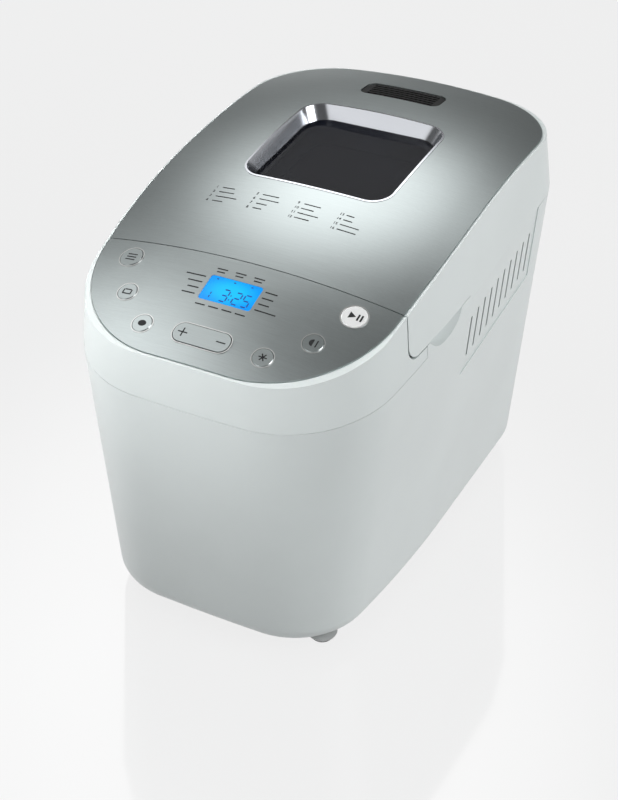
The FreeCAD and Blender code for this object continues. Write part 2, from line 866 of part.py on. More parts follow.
# Lid shell: skirt and roof of the lid, with hinge knuckles at the back and screw bosses inside

hinge_z = lid_z(d.hinge_y) + d.hinge_rise
lid = skin.common(lid_block(d.lid_gap)).common(under_crown(d.joint_gap))
lid_hollow = inner.common(under_crown(d.steel_thickness + d.top_wall))
lid_back_of_front = d.lid_front_y + d.lid_gap + d.wall
lid_hollow = lid_hollow.common(band(above(lid_z, -FAR), above(lid_z, FAR), lid_back_of_front))
lid = lid.cut([lid_hollow, pocket])
knuckle_half = d.hinge_knuckle / 2
station_half = knuckle_half + d.hinge_side_gap + d.hinge_ear
notches = []
knuckles = []
pin_bores = []
for side in (-1, 1):
    x = side * d.hinge_x
    wide = station_half + d.hinge_side_gap
    notch_top = hinge_z + d.hinge_radius + d.lid_gap
    notches.append(Part.makeBox(2 * wide, FAR, notch_top, V(x - wide, d.hinge_y - d.hinge_notch, 0)))
    barrel = Part.makeCylinder(d.hinge_radius, d.hinge_knuckle, V(x - knuckle_half, d.hinge_y, hinge_z),
                               V(1, 0, 0))
    stalk = Part.makeBox(d.hinge_knuckle, d.hinge_radius, FAR,
                         V(x - knuckle_half, d.hinge_y - d.hinge_radius, hinge_z))
    stalk = stalk.common(under_crown(d.steel_thickness + d.top_wall / 2)).common(skin)
    knuckles.append(barrel.fuse(stalk))
    pin_bores.append(Part.makeCylinder(d.hinge_pin_radius + d.run_gap, 2 * wide,
                                       V(x - wide, d.hinge_y, hinge_z), V(1, 0, 0)))
heel = Part.makeBox(2 * FAR, FAR, hinge_z, V(-FAR, d.hinge_y, 0))
hinge_line = V(-FAR, d.hinge_y, hinge_z)
heel = heel.cut(Part.makeCylinder(d.hinge_radius - d.joint_gap, 2 * FAR, hinge_line, V(1, 0, 0)))
lid = lid.cut([heel] + notches)


def liner_low(y):
    return lid_z(y) + d.liner_rise


lid_screw_spots = [(sx * x, y) for sx in (-1, 1) for x, y in ((101.0, -62.0), (106.0, 132.0))]
lid_posts = []
lid_pilots = []
for x, y in lid_screw_spots:
    top = liner_low(y) + d.liner_thickness
    post = Part.makeCylinder(d.lid_post_ratio * d.screw_radius, FAR, V(x, y, top))
    lid_posts.append(post.common(under_crown(d.steel_thickness + d.top_wall / 2)).common(skin))
    lid_pilots.append(Part.makeCylinder(d.screw_radius, d.screw_length + 1, V(x, y, top - 1)))
lid_posts = [p.cut(band(above(lid_z, -FAR), above(liner_low, d.liner_thickness))) for p in lid_posts]
lid = lid.fuse(knuckles + lid_posts)
lid = lid.cut(pin_bores + lid_pilots + [well_hole, steam_hole])
shaped("lid_shell", whole(lid))

# Window bezel: a bright funnel with a ledge for the glass, and the pane on it

bezel = window_funnel(0, -d.bezel_depth, window_top)
sight = (d.window_half_width - d.bezel_slope - d.bezel_ledge,
         d.window_half_length - d.bezel_slope - d.bezel_ledge, d.window_corner - d.bezel_ledge)
well_floor = -d.bezel_depth + d.bezel_wall
bezel = bezel.cut(window_funnel(-d.bezel_wall, well_floor, window_top))
bezel = bezel.cut(rounded_block(*sight, -2 * d.bezel_depth, 0))
shaped("window_bezel", whole(on_window(bezel).common(under_crown(-d.bezel_proud))))
pane_slope = d.bezel_slope / d.bezel_depth * d.bezel_wall
pane_in = d.bezel_slope + d.bezel_wall + d.glass_gap - pane_slope
pane = rounded_block(d.window_half_width - pane_in, d.window_half_length - pane_in,
                     d.window_corner - d.bezel_wall, well_floor, well_floor + d.glass_thickness)
shaped("window_glass", on_window(pane))

# Lid liner: flange inside the skirt, dome over the oven mouth, and a chimney up to the window

dome_top = d.dome_rise
flange = envelope(d.wall + d.joint_gap).common(
    band(liner_low, above(liner_low, d.liner_thickness), lid_back_of_front + d.joint_gap,
         d.hinge_y - d.hinge_notch - d.joint_gap))
dome_half = (d.dome_half_width, d.dome_half_length, d.dome_corner)
dome = rounded_block(*dome_half, 0, FAR, d.oven_centre_y)
dome = dome.common(band(liner_low, above(lid_z, dome_top + d.liner_thickness)))
hollow_half = [h - d.liner_thickness for h in dome_half]
dome_hollow = rounded_block(*hollow_half, 0, FAR, d.oven_centre_y)
dome_hollow = dome_hollow.common(band(above(lid_z, -1), above(lid_z, dome_top)))
chimney_out = (sight[0] + d.bezel_ledge, sight[1] + d.bezel_ledge, sight[2] + d.bezel_ledge)
chimney = on_window(rounded_block(*chimney_out, -FAR, -d.bezel_depth - d.joint_gap / 2))
chimney = chimney.common(band(above(lid_z, dome_top), above(lid_z, FAR)))
flue = on_window(rounded_block(*sight, -FAR, 0)).common(band(above(lid_z, dome_top + d.liner_thickness),
                                                             above(lid_z, FAR)))
sight_hole = on_window(rounded_block(*[h - d.pane_ledge for h in sight], -FAR, 0))
steam_duct = rounded_block(d.steam_half_width - 6, d.steam_half_length - 5, 3, 0, FAR, d.steam_y)
steam_duct = steam_duct.common(band(above(lid_z, dome_top - 1), above(lid_z, FAR)))
liner = flange.fuse([dome, chimney]).cut([dome_hollow, flue, sight_hole, steam_duct])
screw_holes = [Part.makeCylinder(d.screw_radius + d.joint_gap, FAR, V(x, y, 0)) for x, y in lid_screw_spots]
shaped("lid_liner", whole(liner.cut(screw_holes)))

inner_pane = rounded_block(sight[0] - d.glass_gap, sight[1] - d.glass_gap, sight[2], 0, d.glass_thickness)
axis = window_frame.Rotation.multVec(V(0, 0, 1))
slope = math.tan(math.radians(d.lid_line_tilt))
drop = window_frame.Base.z - lid_z(d.window_y) - dome_top - d.liner_thickness
pane_spot = window_frame.Base - axis * (drop / (axis.z - slope * axis.y))
inner_pane.Placement = FreeCAD.Placement(pane_spot, FreeCAD.Rotation(V(1, 0, 0), d.lid_line_tilt))
shaped("inner_glass", inner_pane)

seal_out = (d.dome_half_width + d.seal_width, d.dome_half_length + d.seal_width, d.dome_corner + d.seal_width)
seal = rounded_block(*seal_out, 0, FAR, d.oven_centre_y)
seal = seal.cut(rounded_block(*dome_half, -1, FAR, d.oven_centre_y))
seal = seal.common(band(above(lid_z, d.seal_gap - d.deck_drop), liner_low))
shaped("lid_seal", whole(seal))

# Steam grille: a louvred insert that closes the slot at the back of the lid

grille = rounded_block(d.steam_half_width - d.joint_gap / 2, d.steam_half_length - d.joint_gap / 2,
                       d.steam_corner, -d.steam_depth, window_top)
bar_pitch = 2 * d.steam_half_length / (d.steam_bars + 1)
bar_gap = bar_pitch * 0.55
grille_cuts = []
for i in range(int(d.steam_bars)):
    y = -d.steam_half_length + (i + 1) * bar_pitch
    grille_cuts.append(Part.makeBox(2 * (d.steam_half_width - d.grille_end), bar_gap, FAR,
                                    V(d.grille_end - d.steam_half_width, y - bar_gap / 2, -FAR / 2)))
grille = on_crown(grille.cut(grille_cuts), 0, d.steam_y).common(under_crown(d.grille_sink))
shaped("steam_grille", whole(grille))

screw_profile = [
    ("0", "0"), ("screw_head_radius", "0"), ("screw_head_radius", "screw_head_height"),
    ("screw_radius", "screw_head_height"),
    ("screw_radius", "screw_length"), ("0", "screw_length"),
]
lid_screws = []
for i, (x, y) in enumerate(lid_screw_spots):
    low = liner_low(y)
    spot = (f"{x}", f"{y}", f"{low} - screw_head_height - joint_gap")
    lid_screws.append(turned(f"lid_screw_{i}", screw_profile, spot))
node("lid_screws", grouped("lid_screws", *lid_screws))

# Deck frame: the sloping deck round the oven mouth, with the hinge ears

mouth = rounded_block(d.oven_half_width, d.oven_half_length, d.oven_corner, 0, FAR, d.oven_centre_y)
deck_top = above(lid_z, -d.deck_drop)
deck = envelope(d.wall + tongue_fit).common(band(deck_low, deck_top, panel_back + tongue_fit))
ears = []
for side in (-1, 1):
    for end in (-1, 1):
        ear_mid = side * d.hinge_x + end * (knuckle_half + d.hinge_side_gap + d.hinge_ear / 2)
        at = V(ear_mid - d.hinge_ear / 2, d.hinge_y, hinge_z)
        ear = Part.makeCylinder(d.hinge_radius - d.joint_gap, d.hinge_ear, at, V(1, 0, 0))
        low_y = d.hinge_y - d.hinge_radius - 3
        points = [(low_y, deck_low(low_y) + 1), (low_y + 6, deck_low(low_y) + 1), (d.hinge_y, hinge_z - 1.0),
                  (d.hinge_y, hinge_z + d.hinge_radius - d.joint_gap)]
        web = side_prism(points, d.hinge_ear / 2)
        web.translate(V(ear_mid, 0, 0))
        ears.append(ear.fuse(web))
deck = deck.cut(mouth).fuse(ears).cut(pin_bores)
deck = deck.cut(scoop_walls)
shaped("deck_frame", whole(deck))

pin_length = "2 * (hinge_ear + hinge_side_gap) + hinge_knuckle"
pins = []
for i, side in enumerate((-1, 1)):
    spot = (f"{side} * hinge_x - ({pin_length}) / 2", "hinge_y", f"{hinge_z}")
    pins.append(cylinder(f"hinge_pin_{i}", "hinge_pin_radius", pin_length, spot, ALONG_X))
node("hinge_pins", grouped("hinge_pins", *pins))

# Push buttons: domed caps with a retaining flange and a stem, square to the crown

key_bottom = "-(steel_thickness + top_wall + key_clear)"
key_low = f"{key_bottom} - key_flange_thickness"
stem_low = f"{key_low} - key_stem_length"
for name, (x, y, radius) in keys.items():
    corners = [
        ("0", stem_low), ("key_stem_radius", stem_low), ("key_stem_radius", key_low),
        (f"{radius} + key_flange", key_low), (f"{radius} + key_flange", key_bottom), (radius, key_bottom),
        (radius, "key_proud - key_edge"), (f"{radius} - key_edge", "key_proud"), ("0", "key_proud"),
    ]
    button = turned(name, corners)
    button.Placement = crown_frame(x, y)
    node(name, button)

rocker = rounded_block(d.rocker_half_length, d.rocker_half_width, d.rocker_corner,
                       -d.rocker_axle_depth - d.rocker_skirt, d.key_proud)
axle = Part.makeCylinder(d.rocker_axle_radius, 2 * (lug_start + lug_thickness),
                         V(0, -lug_start - lug_thickness, -d.rocker_axle_depth), V(0, 1, 0))
shaped("adjust_rocker", on_crown(whole(rocker.fuse(axle)), 0, d.rocker_y))

# Display lens, control board, display module and key switches

lens = on_crown(rounded_block(d.display_half_width - tongue_fit, d.display_half_length - tongue_fit,
                              d.display_corner, -key_depth / 2, key_depth / 2), 0, d.display_y)
lens = lens.common(under_crown(d.lens_sink)).cut(under_crown(d.steel_thickness))
shaped("display_lens", whole(lens))

board = padded("control_board", rounded_corners("board_half_width", "board_half_length", "board_corner"),
               "board_thickness", rounded=ROUND_EDGES)
board_low = -d.board_depth - d.board_thickness
board.Placement = board_frame.multiply(FreeCAD.Placement(V(0, 0, board_low), FreeCAD.Rotation()))
node("control_board", board)

module_y = board_frame.inverse().multVec(V(0, d.display_y, crown_z(0, d.display_y))).y
module = Part.makeBox(d.module_width, d.module_length, d.board_depth - d.module_cover,
                      V(-d.module_width / 2, module_y - d.module_length / 2, -d.board_depth))
upper_edges = [e for e in module.Edges if e.BoundBox.ZMin > -d.module_cover - d.module_edge]
shaped("display_module", on_board(module.makeChamfer(d.module_edge, upper_edges)))

stem_end = d.key_travel + d.key_clear - value(stem_low)
switches = []
switch_ends = [crown_frame(x, y).multVec(V(0, 0, -stem_end)) for x, y, _ in keys.values()]
rocker_end = d.rocker_axle_depth + d.rocker_skirt + d.key_travel + d.rocker_contact_gap
for side in (-1, 1):
    switch_ends.append(crown_frame(0, d.rocker_y).multVec(V(side * d.rocker_contact_x, 0, -rocker_end)))
for end in switch_ends:
    tip = board_frame.inverse().multVec(end)
    case = Part.makeBox(d.switch_side, d.switch_side, d.switch_height,
                        V(tip.x - d.switch_side / 2, tip.y - d.switch_side / 2, -d.board_depth))
    plunger = Part.makeCylinder(d.plunger_radius, tip.z + d.board_depth, V(tip.x, tip.y, -d.board_depth))
    switches.append(on_board(whole(case.fuse(plunger))))
shaped("key_switches", Part.makeCompound(switches))

# Base plate with its stand-offs, feet, pads and screws

base_low = d.foot_height - d.base_thickness
base = Part.Face(foot_outline(d.base_inset)).extrude(V(0, 0, d.base_thickness))
base.translate(V(0, 0, base_low))
spindle_y = [d.oven_centre_y - d.paddle_spacing / 2, d.oven_centre_y + d.paddle_spacing / 2]
column_x = d.chassis_half_width - d.column_radius
chassis_back = spindle_y[1] + d.bearing_radius + d.chassis_back_reach
chassis_front = d.motor_y - d.motor_radius - d.chassis_front_reach
column_rows = (chassis_front + d.front_column_inset, chassis_back - d.back_column_inset)
columns = []
for x, y in ((side * column_x, y) for side in (-1, 1) for y in column_rows):
    columns.append(Part.makeCylinder(d.column_radius, d.chassis_z - base_low, V(x, y, base_low)))
cup_spot = V(d.capacitor_x, d.capacitor_y, base_top)
cup_radius = d.capacitor_radius + d.seat_gap
cup = Part.makeCylinder(cup_radius + d.cup_wall, d.cup_height, cup_spot)
cup = cup.cut(Part.makeCylinder(cup_radius, d.cup_height, cup_spot))
guides = []
slot_width = d.card_thickness + d.joint_gap
slot_half = d.card_half + d.seat_gap
for side in (-1, 1):
    corner = V(d.card_x - d.guide_width / 2, d.card_y + side * d.card_half - d.guide_depth / 2, base_top)
    guide = Part.makeBox(d.guide_width, d.guide_depth, d.guide_height, corner)
    slot = Part.makeBox(slot_width, 2 * slot_half, d.guide_height,
                        V(d.card_x - slot_width / 2, d.card_y - slot_half, base_top + d.guide_floor))
    guides.append(guide.cut(slot))
base = base.fuse(columns + [cup] + guides)
base = base.cut([Part.makeCylinder(d.screw_radius + d.joint_gap, 20, V(x, y, 0)) for x, y in screw_spots])
shaped("base_plate", whole(base))

feet = []
pads = []
foot_profile = [
    ("0", "pad_height"), ("foot_radius - 1.5", "pad_height"), ("foot_radius", "pad_height + 1.5"),
    ("foot_radius + 1", "foot_height - base_thickness"), ("0", "foot_height - base_thickness"),
]
pad_profile = [
    ("0", "0"), ("foot_radius - 3", "0"), ("foot_radius - 2", "1"), ("foot_radius - 2", "pad_height"),
    ("0", "pad_height"),
]
foot_spots = [(x, y) for x in ("-foot_x", "foot_x") for y in ("foot_front_y", "foot_back_y")]
for i, (x, y) in enumerate(foot_spots):
    feet.append(turned(f"foot_{i}", foot_profile, (x, y, "0")))
    pads.append(turned(f"pad_{i}", pad_profile, (x, y, "0")))
node("feet", grouped("feet", *feet))
node("foot_pads", grouped("foot_pads", *pads))
base_screws = []
for i, (x, y) in enumerate(screw_spots):
    spot = (f"{x}", f"{y}", "foot_height - base_thickness - screw_head_height")
    base_screws.append(turned(f"base_screw_{i}", screw_profile, spot))
node("base_screws", grouped("base_screws", *base_screws))

# Oven chamber: a deep sheet steel well that hangs from the deck by its flange

outer_half = (d.oven_half_width + d.sheet, d.oven_half_length + d.sheet, d.oven_corner + d.sheet)
inner_half = (d.oven_half_width, d.oven_half_length, d.oven_corner)
floor_low = d.oven_floor_z - d.sheet
chamber = rounded_block(*outer_half, floor_low, FAR, d.oven_centre_y)
rim_half = [h + d.oven_flange for h in inner_half]
rim = rounded_block(*rim_half, 0, FAR, d.oven_centre_y).common(band(above(deck_low, -d.sheet), deck_low))
chamber = chamber.common(band(above(lid_z, -FAR), deck_low)).fuse(rim)
chamber = chamber.cut(rounded_block(*inner_half, d.oven_floor_z, FAR, d.oven_centre_y))
spindle_holes = [Part.makeCylinder(d.bearing_radius - 3, 40, V(0, y, floor_low - 20)) for y in spindle_y]
oven_front = d.oven_centre_y - d.oven_half_length
heater_holes = []
for side in (-1, 1):
    at = V(side * d.heater_lead_x, oven_front - d.heater_hole / 2, d.heater_z)
    heater_holes.append(Part.makeCylinder(d.heater_radius + d.heater_fit, d.heater_hole, at, V(0, 1, 0)))
probe_hole = Part.makeCylinder(d.probe_radius + d.heater_slack, d.heater_hole,
                               V(d.probe_x, oven_front - d.heater_hole / 2, d.probe_z), V(0, 1, 0))
shaped("oven_chamber", whole(chamber.cut(spindle_holes + heater_holes + [probe_hole])))

# Heating element: one bent tube round the pan, with both leads through the front wall

half_x = d.oven_half_width - d.heater_radius - d.heater_clear
half_y = d.oven_half_length - d.heater_radius - d.heater_clear
front_y, back_y = d.oven_centre_y - half_y, d.oven_centre_y + half_y
bend = d.heater_corner
lead = d.heater_lead_x
tight = d.heater_bend
lead_start = oven_front - d.heater_lead


def heater_half(s):
    """Straight runs and bends of one half, from the lead to the middle of the back."""
    z = d.heater_z
    runs = [
        (V(s * lead, lead_start, z), V(s * lead, front_y - tight, z)),
        (V(s * (lead + tight), front_y, z), V(s * (half_x - bend), front_y, z)),
        (V(s * half_x, front_y + bend, z), V(s * half_x, back_y - bend, z)),
        (V(s * (half_x - bend), back_y, z), V(0, back_y, z)),
    ]
    centres = [
        (V(s * (lead + tight), front_y - tight, z), tight),
        (V(s * (half_x - bend), front_y + bend, z), bend),
        (V(s * (half_x - bend), back_y - bend, z), bend),
    ]
    edges = []
    for i, (start, end) in enumerate(runs):
        edges.append(Part.makeLine(start, end))
        if i < len(centres):
            edges.append(arc(end, centres[i][0], centres[i][1], runs[i + 1][0]))
    return edges


left_half = heater_half(-1)
right_half = heater_half(1)
path = Part.Wire(Part.__sortEdges__(left_half + right_half))
section = Part.Wire(Part.makeCircle(d.heater_radius, V(-lead, lead_start, d.heater_z), V(0, 1, 0)))
shaped("heating_element", path.makePipeShell([section], True, False).Solids[0])

clips = []
for side in (-1, 1):
    for y in (d.oven_centre_y - d.clip_half_spacing, d.oven_centre_y + d.clip_half_spacing):
        reach = d.heater_clear + 2 * d.heater_radius + d.clip_cover
        clip_half = d.heater_radius + d.clip_wall
        clip = Part.makeBox(reach, d.clip_width, 2 * clip_half, V(-reach, 0, -clip_half))
        clip.translate(V(d.oven_half_width, y - d.clip_width / 2, d.heater_z))
        if side < 0:
            clip = clip.mirror(V(), V(1, 0, 0))
        run = V(side * half_x, y - FAR / 2, d.heater_z)
        groove = Part.makeCylinder(d.heater_radius + d.heater_slack, FAR, run, V(0, 1, 0))
        clips.append(whole(clip.cut(groove)))
shaped("element_clips", Part.makeCompound(clips))

probe = turned("temperature_probe", [
    ("0", "-14"), ("probe_radius", "-14"), ("probe_radius", "-6"), ("probe_radius + 3", "-6"),
    ("probe_radius + 3", "-sheet"), ("probe_radius", "-sheet"), ("probe_radius", "probe_reach - 2"),
    ("probe_radius - 2", "probe_reach"), ("0", "probe_reach"),
])
probe.Placement = FreeCAD.Placement(V(d.probe_x, oven_front, d.probe_z), ALONG_Y)
node("temperature_probe", probe)

# Pan socket: a plate on the oven floor and the wall on it that holds the base ring of the pan

base_half = (d.pan_base_half_width, d.pan_base_half_length, d.pan_base_half_width - 2)
socket_in = [h + d.socket_gap for h in base_half]
socket_out = [h + d.socket_gap + 2 for h in base_half]
socket_top = d.oven_floor_z + d.socket_thickness
socket_plate = rounded_block(*socket_out, d.oven_floor_z, socket_top, d.oven_centre_y).cut(spindle_holes)
socket_wall = rounded_block(*socket_out, socket_top, d.oven_floor_z + d.socket_height, d.oven_centre_y)
socket_wall = socket_wall.cut(rounded_block(*socket_in, 0, FAR, d.oven_centre_y))
shaped("pan_socket", Part.makeCompound([whole(socket_plate), whole(socket_wall)]))

# Bread pan: a tapered pressed pan with a rolled rim and an ear at each end for the bail

pan_low_half = (d.pan_half_width - d.pan_taper, d.pan_half_length - d.pan_taper, d.pan_corner - 4)
pan_high_half = (d.pan_half_width, d.pan_half_length, d.pan_corner)
pan = tapered_block(pan_low_half, pan_high_half, d.pan_floor_z, d.pan_top_z)
rim_half = [h + d.pan_rim for h in pan_high_half]
pan_rim = rounded_block(*rim_half, d.pan_top_z - d.rim_height, d.pan_top_z)
pan_low_in = [h - d.pan_wall for h in pan_low_half]
pan_high_in = [h - d.pan_wall for h in pan_high_half]
pan_hollow = tapered_block(pan_low_in, pan_high_in, d.pan_floor_z + d.pan_wall, d.pan_top_z + d.pan_wall)
pivot_z = d.pan_top_z + d.handle_pivot_rise
ear_y = d.pan_half_length + d.pan_rim - d.pan_ear_thickness
pan_ears = []
for side in (-1, 1):
    low_y = side * ear_y - d.pan_ear_thickness / 2
    plate = Part.makeBox(d.pan_ear_width, d.pan_ear_thickness, d.handle_pivot_rise + d.rim_height,
                         V(-d.pan_ear_width / 2, low_y, d.pan_top_z - d.rim_height))
    eye = Part.makeCylinder(d.pan_eye_radius, d.pan_ear_thickness, V(0, low_y, pivot_z), V(0, 1, 0))
    pan_ears.append(plate.fuse(eye))
pivot_hole = Part.makeCylinder(d.handle_wire + d.run_gap, FAR, V(0, -FAR / 2, pivot_z), V(0, 1, 0))
pan = pan.fuse(pan_rim).cut(pan_hollow).fuse(pan_ears).cut(pivot_hole)
bush_radius = d.shaft_radius + d.bush_wall
pan.translate(V(0, d.oven_centre_y, 0))
pan = pan.cut([Part.makeCylinder(bush_radius, 20, V(0, y, d.pan_floor_z - 8)) for y in spindle_y])
shaped("bread_pan", whole(pan))

pan_base = rounded_block(*base_half, socket_top, d.pan_floor_z, d.oven_centre_y)
ring_in = [h - 2 for h in base_half]
shaped("pan_base", whole(pan_base.cut(rounded_block(*ring_in, 0, FAR, d.oven_centre_y))))

bush_profile = [
    ("shaft_radius + run_gap", "-bush_depth"), ("shaft_radius + bush_wall", "-bush_depth"),
    ("shaft_radius + bush_wall", "pan_wall"), ("shaft_radius + bush_wall + 1.5", "pan_wall"),
    ("shaft_radius + bush_wall + 0.5", "pan_wall + bush_rise"),
    ("shaft_radius + run_gap", "pan_wall + bush_rise"),
]
spindle_spots = {"front": "oven_centre_y - paddle_spacing / 2", "rear": "oven_centre_y + paddle_spacing / 2"}
bushes = [turned(f"{end}_bush", bush_profile, ("0", y, "pan_floor_z")) for end, y in spindle_spots.items()]
node("pan_bushings", grouped("pan_bushings", *bushes))

# Bail handle: a bent wire that folds down beside the pan's centre line

wire_end = ear_y - 4
leg_y = ear_y + d.pan_ear_thickness / 2 + d.handle_wire + 1
wire_bend = 6.0


def bail_edges():
    """From one pivot out, along the folded leg, down the length of the pan and back."""
    height = d.handle_height
    lines = [
        (V(0, -wire_end, 0), V(0, -leg_y + wire_bend / 2, 0)),
        (V(wire_bend / 2, -leg_y, 0), V(height - wire_bend, -leg_y, 0)),
        (V(height, -leg_y + wire_bend, 0), V(height, leg_y - wire_bend, 0)),
        (V(height - wire_bend, leg_y, 0), V(wire_bend / 2, leg_y, 0)),
        (V(0, leg_y - wire_bend / 2, 0), V(0, wire_end, 0)),
    ]
    centres = [
        (V(wire_bend / 2, -leg_y + wire_bend / 2, 0), wire_bend / 2),
        (V(height - wire_bend, -leg_y + wire_bend, 0), wire_bend),
        (V(height - wire_bend, leg_y - wire_bend, 0), wire_bend),
        (V(wire_bend / 2, leg_y - wire_bend / 2, 0), wire_bend / 2),
    ]
    edges = []
    for i, (start, end) in enumerate(lines):
        edges.append(Part.makeLine(start, end))
        if i < len(centres):
            edges.append(arc(end, *centres[i], lines[i + 1][0]))
    return edges


bail_path = Part.Wire(bail_edges())
bail_ring = Part.Wire(Part.makeCircle(d.handle_wire, V(0, -wire_end, 0), V(0, 1, 0)))
bail = bail_path.makePipeShell([bail_ring], True, False).Solids[0]
bail.translate(V(0, d.oven_centre_y, pivot_z))
shaped("bail_handle", bail)

# Drive: chassis, bearings, spindles, pan shafts, paddles, pulleys, motor and belts

chassis = Part.makeBox(2 * d.chassis_half_width, chassis_back - chassis_front, d.chassis_thickness,
                       V(-d.chassis_half_width, chassis_front, d.chassis_z))
chassis_holes = [Part.makeCylinder(d.shaft_radius + 2, 20, V(0, y, d.chassis_z - 5)) for y in spindle_y]
chassis_holes.append(Part.makeCylinder(d.motor_shaft_radius + 5, 20, V(0, d.motor_y, d.chassis_z - 5)))
shaped("drive_chassis", whole(chassis.cut(chassis_holes)))

bearing_profile = [
    ("shaft_radius + run_gap", "0"), ("bearing_radius", "0"), ("bearing_radius", "3"),
    ("bearing_radius - 4", "4"),
    ("bearing_radius - 4", "oven_floor_z - sheet - chassis_z - chassis_thickness"),
    ("shaft_radius + run_gap", "oven_floor_z - sheet - chassis_z - chassis_thickness"),
]
bearings = []
for end, y in spindle_spots.items():
    bearings.append(turned(f"{end}_bearing", bearing_profile, ("0", y, "chassis_z + chassis_thickness")))
node("bearing_housings", grouped("bearing_housings", *bearings))

dog_low = "oven_floor_z + socket_thickness + 1"
for end, y in spindle_spots.items():
    shaft = cylinder(f"{end}_spindle_shaft", "shaft_radius", f"{dog_low} + dog_height - pulley_z",
                     ("0", y, "pulley_z"))
    arms = box(f"{end}_spindle_arms", "dog_length", "dog_width", "dog_height",
               ("-dog_length / 2", f"{y} - dog_width / 2", dog_low))
    node(f"{end}_spindle", fused(f"{end}_spindle", shaft, arms))

# The front pulley has a large track for the motor belt below and a small one for the cross belt above
cross_low = "pulley_width + pulley_gap"
flange = "pulley_flange_width"
main_rim = "pulley_radius + pulley_flange"
cross_rim = "cross_pulley_radius + pulley_flange"
front_pulley_profile = [
    ("shaft_radius", "0"), (main_rim, "0"), (main_rim, flange), ("pulley_radius", flange),
    ("pulley_radius", f"pulley_width - {flange}"), (main_rim, f"pulley_width - {flange}"),
    (main_rim, "pulley_width"), (cross_rim, "pulley_width"),
    (cross_rim, f"{cross_low} + {flange}"), ("cross_pulley_radius", f"{cross_low} + {flange}"),
    ("cross_pulley_radius", f"{cross_low} + pulley_width - {flange}"),
    (cross_rim, f"{cross_low} + pulley_width - {flange}"),
    (cross_rim, f"{cross_low} + pulley_width"), ("shaft_radius", f"{cross_low} + pulley_width"),
]
node("front_pulley", turned("front_pulley", front_pulley_profile, ("0", spindle_spots["front"], "pulley_z")))


def pulley_profile(bore, radius):
    edge = f"{radius} + pulley_flange"
    return [
        (bore, "0"), (edge, "0"), (edge, flange), (radius, flange),
        (radius, f"pulley_width - {flange}"), (edge, f"pulley_width - {flange}"),
        (edge, "pulley_width"), (bore, "pulley_width"),
    ]


node("rear_pulley", turned("rear_pulley", pulley_profile("shaft_radius", "cross_pulley_radius"),
                           ("0", spindle_spots["rear"], f"pulley_z + {cross_low}")))
node("motor_pulley", turned("motor_pulley", pulley_profile("motor_shaft_radius", "motor_pulley_radius"),
                            ("0", "motor_y", "pulley_z")))
node("motor_shaft", cylinder("motor_shaft", "motor_shaft_radius",
                             "chassis_z + chassis_thickness + mount_height + 2 - pulley_z",
                             ("0", "motor_y", "pulley_z")))


def belt(y1, r1, y2, r2, low, high):
    """A flat band round two pulleys on the centre line."""
    def loop(grow):
        a, b = r1 + grow, r2 + grow
        sine = (a - b) / (y2 - y1)
        cosine = math.sqrt(1 - sine ** 2)
        right = V(cosine, sine, 0)
        left = V(-cosine, sine, 0)
        first, second = V(0, y1, 0), V(0, y2, 0)
        edges = [
            Part.makeLine(first + right * a, second + right * b),
            Part.Arc(second + right * b, second + V(0, b, 0), second + left * b).toShape(),
            Part.makeLine(second + left * b, first + left * a),
            Part.Arc(first + left * a, first - V(0, a, 0), first + right * a).toShape(),
        ]
        face = Part.Face(Part.Wire(edges))
        face.translate(V(0, 0, low))
        return face.extrude(V(0, 0, high - low))

    return loop(d.belt_gap + d.belt_thickness).cut(loop(d.belt_gap))


track = d.pulley_z + d.pulley_flange_width + d.belt_gap
track_top = d.pulley_z + d.pulley_width - d.pulley_flange_width - d.belt_gap
rise = d.pulley_width + d.pulley_gap
shaped("main_belt", belt(d.motor_y, d.motor_pulley_radius, spindle_y[0], d.pulley_radius, track, track_top))
shaped("cross_belt", belt(spindle_y[0], d.cross_pulley_radius, spindle_y[1], d.cross_pulley_radius,
                          track + rise, track_top + rise))

# Motor: flanged can that stands on rubber mounts on the chassis
motor_low = "chassis_z + chassis_thickness + mount_height"
can = turned("motor_can", [
    ("motor_shaft_radius + run_gap", "0"), ("motor_radius - motor_flange", "0"),
    ("motor_radius - motor_flange", "motor_plate"), ("motor_radius", "motor_plate"),
    ("motor_radius", "motor_height - 6"), ("motor_radius - 6", "motor_height"), ("9", "motor_height"),
    ("9", "motor_height - 4"), ("motor_shaft_radius + run_gap", "motor_height - 4"),
], ("0", "motor_y", motor_low))
feet_outline = rounded_corners("chassis_half_width - 4", "motor_radius - motor_flange", "6")
ledge_plate = padded("motor_feet", feet_outline, "motor_plate", ("0", "motor_y", motor_low), ROUND_EDGES)
shaft_way = cylinder("motor_shaft_way", "motor_shaft_radius + run_gap", "20",
                     ("0", "motor_y", f"{motor_low} - 5"))
node("motor", cut("motor", fused("motor_frame", can, ledge_plate), shaft_way))
mount_profile = [
    ("1.8", "0"), ("5", "0"), ("3.6", "mount_height / 2"), ("5", "mount_height"), ("1.8", "mount_height"),
]
mounts = []
for i, (sx, sy) in enumerate((sx, sy) for sx in (-1, 1) for sy in (-1, 1)):
    spot = (f"{sx} * (chassis_half_width - 11)", f"motor_y + {sy} * (motor_radius - 15)",
            "chassis_z + chassis_thickness")
    mounts.append(turned(f"mount_{i}", mount_profile, spot))
node("motor_mounts", grouped("motor_mounts", *mounts))

capacitor = turned("motor_capacitor", [
    ("0", "0"), ("capacitor_radius", "0"), ("capacitor_radius", "capacitor_height - capacitor_edge"),
    ("capacitor_radius - capacitor_edge", "capacitor_height"), ("terminal_radius", "capacitor_height"),
    ("terminal_radius", "capacitor_height + terminal_height"), ("0", "capacitor_height + terminal_height"),
], ("capacitor_x", "capacitor_y", "foot_height"))
node("motor_capacitor", capacitor)

